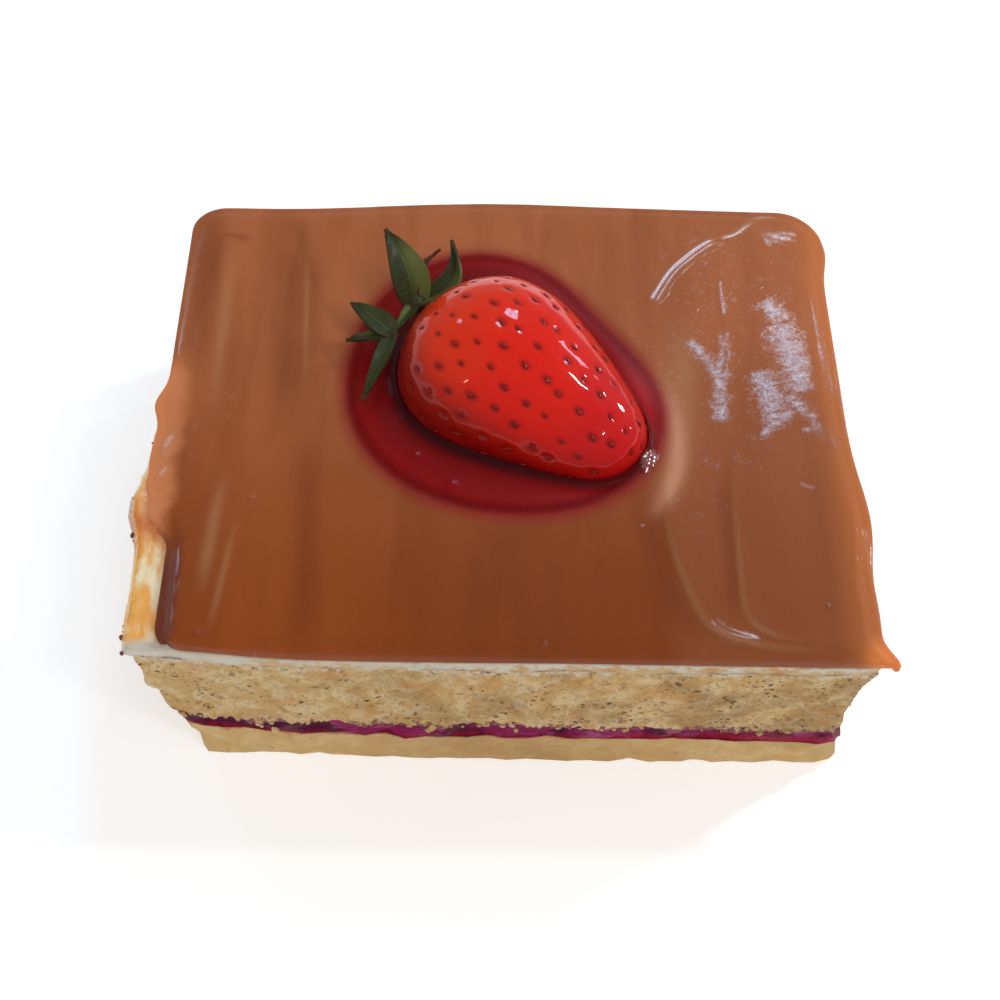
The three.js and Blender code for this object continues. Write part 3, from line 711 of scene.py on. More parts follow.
class CAKE_OT_filling(bpy.types.Operator):
    """Models the berry filling that shows between the sponge layers"""

    bl_idname = "cake.filling"
    bl_label = "Berry filling"

    def execute(self, context):
        colours = context.scene.cake_colours
        piece = copy_of_node("berry_filling", "berry_filling_smear")
        divide_walls(piece, 8)
        walls = group_walls(piece, 0.2)
        dent(piece, "sags", "CLOUDS", 0.005, 0.0009, 0.8, walls, noise_depth=2)
        dent(piece, "smears", "CLOUDS", 0.0012, 0.0005, 0.5, walls, noise_depth=3)
        apply_modifiers(piece)
        smooth(piece, 70)

        paint = Paint(piece.name)
        along = paint.stretched(0.22, 0.22, 1)
        streaks = paint.step(paint.clouds(0.0011, detail=4, distortion=0.6, place=along), 0.5, 0.66)
        dark_end = paint.spot((-35, -38, 8), 13)
        thick = paint.step(paint.clouds(0.0045) + 0.3 * dark_end, 0.46, 0.6)
        wet = paint.step(paint.clouds(0.003, detail=2), 0.4, 0.6)
        red = paint.fade(paint.z + 0.0012 * paint.clouds(0.0015), 0.0078, 0.0086)
        maroon = paint.spot((32, -38, 9), 8)
        tint = paint.layers(
            colours.filling,
            (streaks * 0.6, colours.filling_streak),
            (thick * 0.85, colours.filling_dark),
            (maroon * 0.6, rgb(140, 40, 52)),
            (red * 0.65, colours.filling_red),
        )
        height = paint.clouds(0.0012, detail=4, place=along) + 0.5 * paint.clouds(0.0005)
        paint.finish(
            piece,
            Base_Color=tint,
            Roughness=0.6 - 0.2 * wet,
            Normal=paint.relief(height, 0.0006),
            Specular_IOR_Level=0.1,
        )
        settle(piece, "berry_filling")
        return {"FINISHED"}


class CAKE_OT_milk_cream(bpy.types.Operator):
    """Models the cream on the upper sponge, with the syrup that ran over it on the left"""

    bl_idname = "cake.milk_cream"
    bl_label = "Milk cream"

    def execute(self, context):
        piece = copy_of_node("milk_cream", "milk_cream_coat")
        divide_walls(piece, 5)
        walls = group_walls(piece, 0.15)
        dent(piece, "folds", "CLOUDS", 0.004, 0.0006, 0.5, walls, noise_depth=2)
        dent(piece, "curds", "CLOUDS", 0.0013, 0.00035, 0.5, walls, noise_depth=2)
        apply_modifiers(piece)
        smooth(piece, 80)
        self.paint(piece, context.scene.cake_colours)
        settle(piece, "milk_cream")
        return {"FINISHED"}

    def paint(self, piece, colours):
        paint = Paint(piece.name)
        ragged = paint.clouds(0.0012, detail=4)
        soft = paint.clouds(0.004)
        # On the sides, crumb and soaked crumb show through the cream's lower part.
        corner = paint.hill(paint.x, -0.047, 0.02)
        low = paint.z - 0.0279 - 0.006 * (ragged - 0.5) - 0.004 * (soft - 0.5) + 0.003 * corner
        low = low + 0.0007 * paint.hill(paint.x, -0.006, 0.03)
        crumb = paint.fade(low, -0.0009, 0.0007)
        soaked = paint.step(paint.clouds(0.0075), 0.52, 0.62)
        # Syrup lies on the swell at the left, with white cream standing through it.
        swell = paint.fade(paint.x + 0.0008 * (ragged - 0.5), -0.0436, -0.042)
        upper = paint.step(paint.z + 0.0012 * (soft - 0.5), 0.0262, 0.0274)
        inward = paint.step(paint.y + 0.002 * (soft - 0.5), -0.0356, -0.0336)
        dark = paint.hill(paint.y + 0.003 * (soft - 0.5), -0.0172, 0.006)
        white = paint.step(paint.clouds(0.0021, detail=4, place=paint.stretched(1, 0.42, 1)), 0.41, 0.67)
        thick = paint.step(paint.clouds(0.0028) + 90 * (paint.x + 0.047), 0.4, 0.75)
        outer = paint.fade(paint.x + 0.0016 * (ragged - 0.5), -0.0499, -0.0484)
        syrup = paint.layers(
            colours.syrup,
            (thick * 0.5, rgb(242, 160, 74)),
            (dark, colours.syrup_dark),
            (white * (1 - 0.75 * dark) * 0.9, rgb(255, 238, 200)),
            (outer * (1 - dark) * 0.8, colours.cream_shade),
        )
        specks = paint.step(paint.clouds(0.0011), 0.64, 0.7) * swell * (1 - upper)
        coat = paint.layers(
            colours.cream,
            (soft * 0.7, colours.cream_shade),
            (crumb * 0.9, colours.sponge),
            (soaked * crumb * 0.6, colours.sponge_soaked),
            (swell * upper * inward, syrup),
            (specks, rgb(92, 44, 26)),
        )
        wet = swell * upper
        height = paint.clouds(0.0018) + 0.4 * ragged
        paint.finish(
            piece,
            Base_Color=coat,
            Roughness=0.5 - 0.2 * wet,
            Coat_Weight=0.3 * wet,
            Coat_Roughness=0.12,
            Normal=paint.relief(height, 0.0007),
            soft=(0.2, (1, 0.8, 0.5), 0.0015),
            Specular_IOR_Level=0.2,
        )


# ---- The glaze ----

GLAZE_CORNERS = {(-1, 1): 4, (1, 1): 5, (-1, -1): 3, (1, -1): 0.5}


def glaze_corners(u, v):
    """For each corner: its side, end and radius, and how points lie from its arc's centre."""
    for (side, end), radius in GLAZE_CORNERS.items():
        over_x = u * HALF_WIDTH * side - HALF_WIDTH + radius
        over_y = v * HALF_DEPTH * end - HALF_DEPTH + radius
        inside = (over_x > 0) & (over_y > 0)
        yield side, end, radius, over_x, over_y, inside, np.maximum(np.hypot(over_x, over_y), 1e-9)


def rounded(u, v):
    """The rectangle's points, with its four corners rounded."""
    x = u * HALF_WIDTH
    y = v * HALF_DEPTH
    for side, end, radius, over_x, over_y, inside, away in glaze_corners(u, v):
        far = np.maximum(over_x, over_y) / away
        x = np.where(inside, side * (HALF_WIDTH - radius + over_x * far), x)
        y = np.where(inside, end * (HALF_DEPTH - radius + over_y * far), y)
    return x, y


def outward(u, v):
    """The direction in plan in which the rounded rectangle's outline faces."""
    x = np.where(np.abs(u) == 1, u, 0.0)
    y = np.where(np.abs(v) == 1, v, 0.0)
    for side, end, _, over_x, over_y, inside, away in glaze_corners(u, v):
        x = np.where(inside, side * over_x / away, x)
        y = np.where(inside, end * over_y / away, y)
    return x, y


def glaze_plan(u, v):
    """Where the glaze's points lie in plan. u and v run from -1 to 1 across it and along it."""
    x, y = rounded(u, v)
    drawn_back = 3 * (1 - ease(y, -23, -16.5))
    left = 0.8 + 1.2 * bump(y, -7, 7) + 1.3 * bump(y, 1.6, 2.6) + 0.4 * bump(y, -12.5, 1.6)
    left = left - drawn_back
    right = -0.3 + 0.9 * bump(y, 30, 4) + 1.3 * bump(y, -17, 8) + 0.5 * bump(y, -31, 4)
    right = right + 2.4 * bump(y, -HALF_DEPTH, 2.4)
    front = 0.4 * x / HALF_WIDTH - 1.1 * bump(x, -HALF_WIDTH, 11)
    back = -0.9 + 1.3 * bump(x, 0, 19)
    return x + u * np.where(u < 0, left, right), y + v * np.where(v < 0, front, back)


POOL_CENTRE = (-0.5, 5)
POOL_WAVES = ((1, 1.7, -132), (2, 2, -55), (3, 1.1, -25))


def pool_radius(angle):
    waves = (h * np.cos(turns * (angle - math.radians(at))) for turns, h, at in POOL_WAVES)
    return 22 + sum(waves)


def beyond_pool(x, y):
    """How far a point of the glaze lies outside the pool's rim."""
    away_x = x - POOL_CENTRE[0]
    away_y = y - POOL_CENTRE[1]
    return np.hypot(away_x, away_y) - pool_radius(np.arctan2(away_y, away_x))


# The spatula's marks, by the curve of each crest. A step is raised to the left of its curve, and
# its two numbers are its height and how far the raised side takes to fall away.
FRONT_STEP = (
    (19.4, -3), (19.9, -11.8), (20.6, -21.8), (23.2, -31.2),
    (25.6, -34.4), (30.3, -36), (37.5, -36.7), (44.5, -36.4),
)
RIGHT_STEP = ((29.4, -4), (29.1, -12), (28.9, -24), (29, -31), (30.4, -33.8), (34, -35.2), (44, -36))
LEFT_STEP = ((-25.6, -4), (-25.2, -12.2), (-24, -24.3), (-22.7, -36))
STEPS = ((0.3, 5, FRONT_STEP), (0.26, 7, RIGHT_STEP), (0.07, 6, LEFT_STEP))
# A ridge's numbers are its height, its half width and how far it lies to the left of its curve.
BACK_RIDGE = ((20, 18.2), (20.8, 19.7), (23.3, 24.1), (26.3, 27.4), (28.3, 29.2), (31, 31.2))
FAINT_RIDGE = ((30.4, 30.8), (33.3, 31.8), (36.6, 35), (40.5, 35.9))
CREASE = ((31, 31.4), (30.2, 20), (30.5, 10), (29.4, 5))
LEFT_RIDGE = ((-40.5, 33), (-40.1, 19.7), (-39.9, 8), (-39.4, -6))
LEFT_LINE = ((-29.3, 30), (-28.4, 15), (-27.5, -1))
LEFT_SCRAPE = ((-37, -9), (-37.8, -20), (-38.2, -31))
SHORT_SCRAPE = ((-34.8, -17), (-35.7, -26), (-36.8, -36))
RIDGES = (
    (0.16, 0.42, 0.5, BACK_RIDGE),
    (0.16, 0.42, -0.5, BACK_RIDGE),
    (0.1, 0.9, 0, FAINT_RIDGE),
    (0.05, 0.4, 0, CREASE),
    (0.12, 1, 0, LEFT_RIDGE),
    (0.05, 0.8, 0, LEFT_LINE),
    (0.2, 0.45, 0, ((24.2, -33), (26.6, -35), (30.5, -36.3))),
    (0.22, 0.5, 0, ((-42.1, -19.5), (-41.9, -29), (-41.5, -36.8))),
    (0.09, 0.8, 0, LEFT_SCRAPE),
    (0.06, 0.6, 0, SHORT_SCRAPE),
)
# Where the skin is glossy and wrinkled: the half width and the middle line of each patch.
SHEEN = (
    (0.9, ((24.6, 12.4), (27.2, 8.4), (28.7, 4.5))),
    (0.8, ((30, 13.6), (29.8, 9), (29, 4.5))),
    (1.15, ((29.2, 9), (28.8, 3), (28.2, -3))),
    (0.4, ((30.2, 23), (30.3, 16))),
    (1.7, ((35.9, 19.4), (38.8, 15))),
    (2.6, ((37.6, 15.4), (39, 10), (40, 1.6))),
    (2, ((34.4, 7), (35.4, 2), (36, -3.6))),
    (0.8, ((33.4, -5), (36, -2.4), (38.6, 0))),
    (1.2, ((37.4, 2.6), (40.5, -1.5), (44, -7.5))),
    (0.5, ((38.6, -3.6), (41.6, -3.8), (43.6, -6))),
    (1.5, ((37, 30.6), (39.6, 31.6), (42.6, 31.8))),
    (0.6, ((42.4, 21), (43.2, 14), (43.6, 7), (44.4, 1))),
    (0.4, ((44.8, 8), (45.4, -5))),
)
# Bubbles and knobs: their place and radius.
BUBBLES = (
    (39.6, -30.6, 0.36),
    (4.3, -36, 0.34),
    (-33.2, -14.9, 0.38),
    (-37.8, -34.5, 0.36),
    (-37.4, 1.2, 0.34),
    (-37.5, -2.2, 0.3),
    (-27.6, -21, 0.22),
    (16.9, -19, 0.2),
    (-45.1, -5.6, 0.8),
    (-45.1, -10.5, 0.7),
    (-45.2, -16.4, 0.8),
)
# Where a crest or an edge is as smooth as glass.
GLINTS = (
    (1.3, BACK_RIDGE),
    (0.4, FAINT_RIDGE),
    (1, ((24.4, -32.6), (26.8, -34.6), (30.9, -36))),
    (0.35, ((29.6, -32.4), (30.6, -33.8), (33, -35))),
    (0.35, ((37.8, -12.2), (39.8, -13))),
    (0.7, ((-42.2, -21), (-42, -29), (-41.6, -36))),
    (1.2, ((-45.4, -3.6), (-45.2, -7.6))),
    (0.9, ((-45.4, -9.5), (-45.2, -11.5))),
    (1, ((-45.6, -15.2), (-45.2, -18))),
    (0.4, ((45.6, -17), (46.2, -27), (46.2, -36))),
    (0.45, ((-44.6, 35), (-45.4, 22), (-45.6, 8))),
)
for bubble_x, bubble_y, bubble_radius in BUBBLES:
    GLINTS += ((bubble_radius * 1.6, ((bubble_x - 0.3, bubble_y), (bubble_x + 0.3, bubble_y))),)
# The milky glow beside the gel.
HALO = (
    (1.3, ((16.9, -18.4), (19.4, -16), (21.3, -12), (22.2, -8), (22, -2), (20.6, 4), (17, 12))),
)
# Paler places: painted highlights along crests, scrapes and the right lip, and a paler tan zone beside
# the gel.
PALE_AND_HIGHLIGHTS = (
    (0.4, FRONT_STEP),
    (0.32, RIGHT_STEP),
    (0.6, FAINT_RIDGE),
    (0.8, LEFT_RIDGE),
    (0.8, LEFT_SCRAPE),
    (0.4, SHORT_SCRAPE),
    (0.4, ((45.2, -16), (45.8, -27), (45.8, -35))),
    (0.3, LEFT_LINE),
    (2.4, ((25, 20), (24, 8), (22, -6), (18, -16))),
    (0.45, ((22.6, -6), (22.2, -10.5), (20.6, -14.4), (18.8, -17.4))),
)
# Darker places: the glaze's own darker streaks, and painted shade on the low sides of the front and
# right steps.
DARK_AND_SHADE = (
    (1.6, ((18.4, -6), (19, -22), (21.6, -32), (25, -36.4))),
    (1, ((27.9, -8), (27.7, -24), (27.6, -35))),
    (1.8, ((-42.8, 37), (-42.6, 20), (-42.2, 2))),
    (1.4, ((-31.6, 37), (-29.6, 28), (-26.6, 16))),
    (3.4, ((-31, 34), (-30, 15), (-29, -8))),
    (1.8, ((-26.8, -2), (-25.8, -20), (-24.2, -42))),
    (0.7, ((-42.6, 31.2), (-37, 30.1))),
    (0.6, ((39, -30.6), (40.2, -30.6))),
)


def glaze_relief(x, y):
    """How far the spatula's marks stand above the glaze's level."""
    relief = 0.18 * np.sin(0.16 * x + 0.6) * np.cos(0.11 * y - 0.4)
    for height, reach, curve in STEPS:
        left, share = off_curve(x, y, curve)
        raised = ease(left, -0.9, 0.5) * np.exp(-np.maximum(left, 0) / reach)
        relief += height * tapered(share, 0.25, 0.86) * (raised + 0.35 * bump(left, 0.45, 0.5))
    for height, half_width, offset, curve in RIDGES:
        left, share = off_curve(x, y, curve)
        relief += height * tapered(share, 0.15, 0.85) * bump(left, offset, half_width)
    relief += 0.05 * grain(in_plan(x, y) / (1, 3, 1), 5, seed=1, octaves=2)
    return relief * ease(beyond_pool(x, y), 1, 6)


def glaze_skin(x, y, wrinkle):
    """Small marks on the glaze: wrinkles where it is glossy, and a few bubbles."""
    folds = 1 - np.abs(grain(in_plan(x, y) / (1.6, 1, 1), 1.2, seed=4, octaves=2)) * 2
    skin = wrinkle * marks(x, y, SHEEN, 0.1) * folds
    for at_x, at_y, radius in BUBBLES:
        away = np.hypot(x - at_x, y - at_y)
        skin += 0.2 * bump(away, 0, radius) - 0.05 * bump(away, radius * 2.1, radius * 0.7)
    return skin


def glaze_height(u, v, x, y, wrinkle):
    from_side = HALF_WIDTH * (1 - np.abs(u))
    from_end = HALF_DEPTH * (1 - np.abs(v))
    near_cut = (v < 0) & (from_end <= from_side)
    drop = np.where(near_cut, 0.3, 0.75) * bump(np.minimum(from_side, from_end), 0, 1.5)
    run_over = 1.6 * bump(y, -5, 9) * bump(from_side, 0, 3) * (u < 0)
    bead = 0.16 * bump(from_side, 1.6, 0.6) * (u > 0) * ease(-y, 12, 20)
    tip = dab(x, y, (48, -38), 3.4)
    return GLAZE_TOP + glaze_relief(x, y) + glaze_skin(x, y, wrinkle) - drop - run_over + bead - tip


def outline_at(share):
    """u, v and the distance along the outline, once round it from the front left corner."""
    distance = share * 4 * (HALF_WIDTH + HALF_DEPTH)
    width = 2 * HALF_WIDTH
    depth = 2 * HALF_DEPTH
    sides = [distance < width, distance < width + depth, distance < 2 * width + depth]
    across = [distance / HALF_WIDTH - 1, 1, 1 - (distance - width - depth) / HALF_WIDTH]
    along = [-1, (distance - width) / HALF_DEPTH - 1, 1]
    last = 1 - (distance - 2 * width - depth) / HALF_DEPTH
    return np.select(sides, across, -1), np.select(sides, along, last), distance


def round_wave(distance, height, turns, phase):
    return height * np.sin(2 * math.pi * turns * distance / (4 * (HALF_WIDTH + HALF_DEPTH)) + phase)


# The glaze's edge from its top to its bed: how far it stands out, and its share of the height.
GLAZE_EDGE = (
    (0, 1), (0.42, 0.93), (0.66, 0.8), (0.76, 0.62), (0.74, 0.42),
    (0.62, 0.2), (0.4, 0.04), (-0.1, 0), (-0.5, 0),
)


def glaze_edge(share, down, wrinkle):
    """The glaze's side, from its top's border at down 0 to its bed at down 1."""
    u, v, distance = outline_at(share)
    x, y = glaze_plan(u, v)
    cut = v == -1
    droop = np.where(u == -1, 0.5 * bump(y, -4, 9), 0)
    floor = GLAZE_FLOOR + round_wave(distance, 0.1, 7, 0.5) - droop
    over_cream = (u == -1) & (y < 9)
    hang = np.where(cut | over_cream, 0, 1.3 * (0.5 + round_wave(distance, 0.5, 11, 2.4)) ** 3)
    top = glaze_height(u, v, x, y, wrinkle)
    steps = np.linspace(0, 1, len(GLAZE_EDGE))
    out, rise = (np.interp(down, steps, values) for values in zip(*GLAZE_EDGE))
    out = out * np.where(cut & (down < 0.9), 0.12, 1)
    low = floor - hang * ease(down, 0.3, 0.8) * (1 - ease(down, 0.86, 1))
    z = low + (top - low) * rise
    out_x, out_y = outward(u, v)
    return x + out_x * out, y + out_y * out, z


# Cells of the glaze's top, across and along it.
GLAZE_CELLS = (252, 210)


class CAKE_OT_caramel_glaze(bpy.types.Operator):
    """Models the caramel glaze, with its spatula marks, wrinkles, lips and run-over edge"""

    bl_idname = "cake.caramel_glaze"
    bl_label = "Caramel glaze"

    def execute(self, context):
        wrinkle = context.scene.cake_sizes.wrinkle_height / MM
        columns, rows = GLAZE_CELLS

        def top(across, along):
            u = 2 * across - 1
            v = 2 * along - 1
            x, y = glaze_plan(u, v)
            return x, y, glaze_height(u, v, x, y, wrinkle)

        surface = shaped_grid("caramel_top", columns, rows, top)
        rim = 2 * (columns + rows)
        levels = len(GLAZE_EDGE) - 1
        edge = shaped_grid("caramel_edge", rim, levels, lambda s, d: glaze_edge(s % 1, d, wrinkle))
        piece = joined("caramel_glaze_coat", [surface, edge])
        close_mesh(piece, 0.00001)
        cap_openings(piece)
        smooth(piece, 60)
        x, y, _ = points_of(piece).T
        keep_values(piece, "pool", beyond_pool(x, y))
        for name, curves, taper in (
            ("sheen", SHEEN, 0.12),
            ("glints", GLINTS, 0.15),
            ("halo", HALO, 0.35),
            ("pale", PALE_AND_HIGHLIGHTS, 0.4),
            ("dark", DARK_AND_SHADE, 0.3),
        ):
            keep_values(piece, name, marks(x, y, curves, taper))
        for name, values in zip(("off", "along"), beside_nearest(x, y, GLINTS)):
            keep_values(piece, name, values)
        self.paint(piece, context.scene.cake_colours)
        settle(piece, "caramel_glaze")
        return {"FINISHED"}

    def paint(self, piece, colours):
        paint = Paint(piece.name)
        pool = paint.attribute("pool")
        strokes = paint.clouds(0.006, place=paint.stretched(1, 0.16, 1))
        mottle = paint.clouds(0.02, detail=2)
        fine = paint.clouds(0.0014, detail=4)
        # Painted sheen: the glaze grows paler towards its back.
        back_sheen = paint.step(paint.y + 0.016 * (mottle - 0.5), -0.034, 0.016)
        left_side = paint.fade(paint.x, -0.032, 0)
        # Painted sheen: the glaze's front right, inside the steps, is paler and greyer.
        right_sheen = paint.step(paint.x, 0.018, 0.0225) * paint.fade(paint.y, -0.004, 0.016)
        # Light comes through the glaze where it is thin, at its lips.
        right = paint.step(paint.x + 0.0006 * strokes, 0.0395, 0.0468)
        tip = paint.spot((46.5, -37.5, 30.5), 4.5)
        left = paint.fade(paint.x + 0.003 * (paint.clouds(0.005) - 0.5), -0.0454, -0.0424)
        left = left * paint.fade(abs(paint.y + 0.006), 0.011, 0.017)
        # Painted highlights along crests and scrapes, and paler tan streaks beside the gel.
        pale = paint.attribute("pale") * (0.6 + 1.2 * (strokes - 0.35))
        # Painted shade: the glaze's front left edge, where it rolls down, is darker.
        rolled_edge_shade = paint.fade(paint.x + 0.0006 * (fine - 0.5), -0.0416, -0.0406)
        rolled_edge_shade = rolled_edge_shade * paint.fade(paint.y, -0.026, -0.018)
        tint = paint.layers(
            colours.caramel,
            (left_side * 0.5, rgb(160, 78, 28)),
            (back_sheen, colours.caramel_back_sheen),
            (paint.step(strokes, 0.4, 0.66) * 0.25, colours.caramel_dark),
            (right_sheen * 0.4, rgb(150, 88, 54)),
            (right * 0.5 + tip * 0.5, colours.caramel_thin),
            (left * 0.9, rgb(218, 134, 86)),
            # The glaze's own darker streaks, and painted shade below the front and right steps.
            (paint.attribute("dark") * 0.38, colours.caramel_dark),
            (pale * 0.45, colours.caramel_tan_highlight),
            (rolled_edge_shade * 0.75, rgb(100, 46, 38)),
            (paint.attribute("halo") * 0.7, rgb(206, 148, 116)),
            (paint.fade(pool + 0.6 * (mottle - 0.5), -1.3, 1.8), colours.stain),
        )
        # The sheen is mottled like leather, and the glints are brushed along their marks.
        leather = paint.clouds(0.00045, detail=4, roughness=0.65)
        patchy = paint.attribute("sheen") + 1.2 * (fine - 0.5) + 2.2 * (leather - 0.5)
        sheen = paint.step(patchy, 0.1, 1.5)
        brushed = {"X": paint.attribute("off"), "Y": paint.attribute("along") * 0.12}
        by_mark = paint.node("CombineXYZ", inputs=brushed)
        bristles = paint.clouds(0.3, place=by_mark)
        glints = paint.step(paint.attribute("glints") + 2.2 * (bristles - 0.5), 0.3, 0.75)
        low_waves = paint.clouds(0.0035, detail=4, place=paint.stretched(1, 0.4, 1))
        height = 0.6 * low_waves + sheen * leather
        paint.finish(
            piece,
            Base_Color=tint,
            Roughness=0.5 - 0.2 * sheen,
            Normal=paint.relief(height, 0.00014),
            Coat_Weight=glints + sheen,
            Coat_Roughness=0.19,
            soft=(0.12, (1, 0.4, 0.2), 0.002),
            Specular_IOR_Level=0.1,
        )


# ---- The strawberry and its gel ----

BERRY_CENTRE = (2, 2.4)
BERRY_TURN = math.radians(-40)
BERRY_LENGTH = 36
BERRY_RADIUS = 12.7
BERRY_ROUNDNESS = 0.92
BERRY_COS = math.cos(BERRY_TURN)
BERRY_SIN = math.sin(BERRY_TURN)
# Angles from the stem to the tip at which the profile is measured.
BERRY_TURNS = np.linspace(0, math.pi, 2000)


def berry_profile(turn):
    """Place along the berry's axis and radius, at an angle from its stem (0) to its tip (pi)."""
    fullness = 1 + 0.2 * np.cos(turn) - 0.06 * np.cos(3 * turn)
    round_ends = np.maximum(np.sin(turn), 0) ** 0.86
    along = -BERRY_LENGTH / 2 * np.cos(turn) + 0.9 * ((1 - np.cos(turn)) / 2) ** 2
    return along, BERRY_RADIUS * fullness * round_ends


def on_slice(along, across, rise, middle=(*BERRY_CENTRE, GLAZE_TOP)):
    """From the berry's own frame, with its axis along x, to its place on the slice."""
    x = along * BERRY_COS - across * BERRY_SIN + middle[0]
    y = along * BERRY_SIN + across * BERRY_COS + middle[1]
    return x, y, rise + middle[2]


def by_berry_axis(x, y):
    """A place in plan, from the berry's middle, as lengths along its axis and across it."""
    return x * BERRY_COS + y * BERRY_SIN, y * BERRY_COS - x * BERRY_SIN


def berry_surface(turn, arc, pit=0):
    along, radius = berry_profile(turn)
    reach = np.maximum(radius - pit, 0)
    return along, reach * np.cos(arc), BERRY_ROUNDNESS * reach * np.sin(arc)


def berry_shore(turn, clearance):
    """The berry's outline on the glaze, once round it, moved out by the clearance."""

    def outline(t):
        t = t % (2 * math.pi)
        near = t <= math.pi
        along, radius = berry_profile(np.where(near, t, 2 * math.pi - t))
        return along, np.where(near, -radius, radius)

    before = outline(turn - 0.02)
    after = outline(turn + 0.02)
    tangent = np.stack([after[0] - before[0], after[1] - before[1]])
    tangent = tangent / np.maximum(np.hypot(*tangent), 1e-9)
    along, across = outline(turn)
    x, y, _ = on_slice(along + tangent[1] * clearance, across - tangent[0] * clearance, 0)
    return x, y


def seed_places(spacing):
    """Angles along and round the berry of its seeds, in staggered rows with a little disorder."""
    draw = random.Random(5)
    along, radius = berry_profile(BERRY_TURNS)
    run = np.concatenate([[0], np.cumsum(np.hypot(np.diff(along), np.diff(radius)))])
    places = []
    rows = int(run[-1] / spacing)
    for row in range(1, rows):
        turn = float(np.interp(row * run[-1] / rows, run, BERRY_TURNS))
        reach = float(np.interp(turn, BERRY_TURNS, radius))
        count = max(3, round(math.pi * reach / (spacing * 1.28)))
        for k in range(count):
            arc = math.pi * (k + 0.25 + 0.5 * (row % 2)) / count
            arc += draw.uniform(-0.22, 0.22) * math.pi / count
            jog = draw.uniform(-0.04, 0.04)
            if 0.02 < arc < math.pi - 0.02:
                places.append((turn + jog, arc, draw.uniform(0.7, 1.2), draw.uniform(-0.6, 0.6)))
    return places


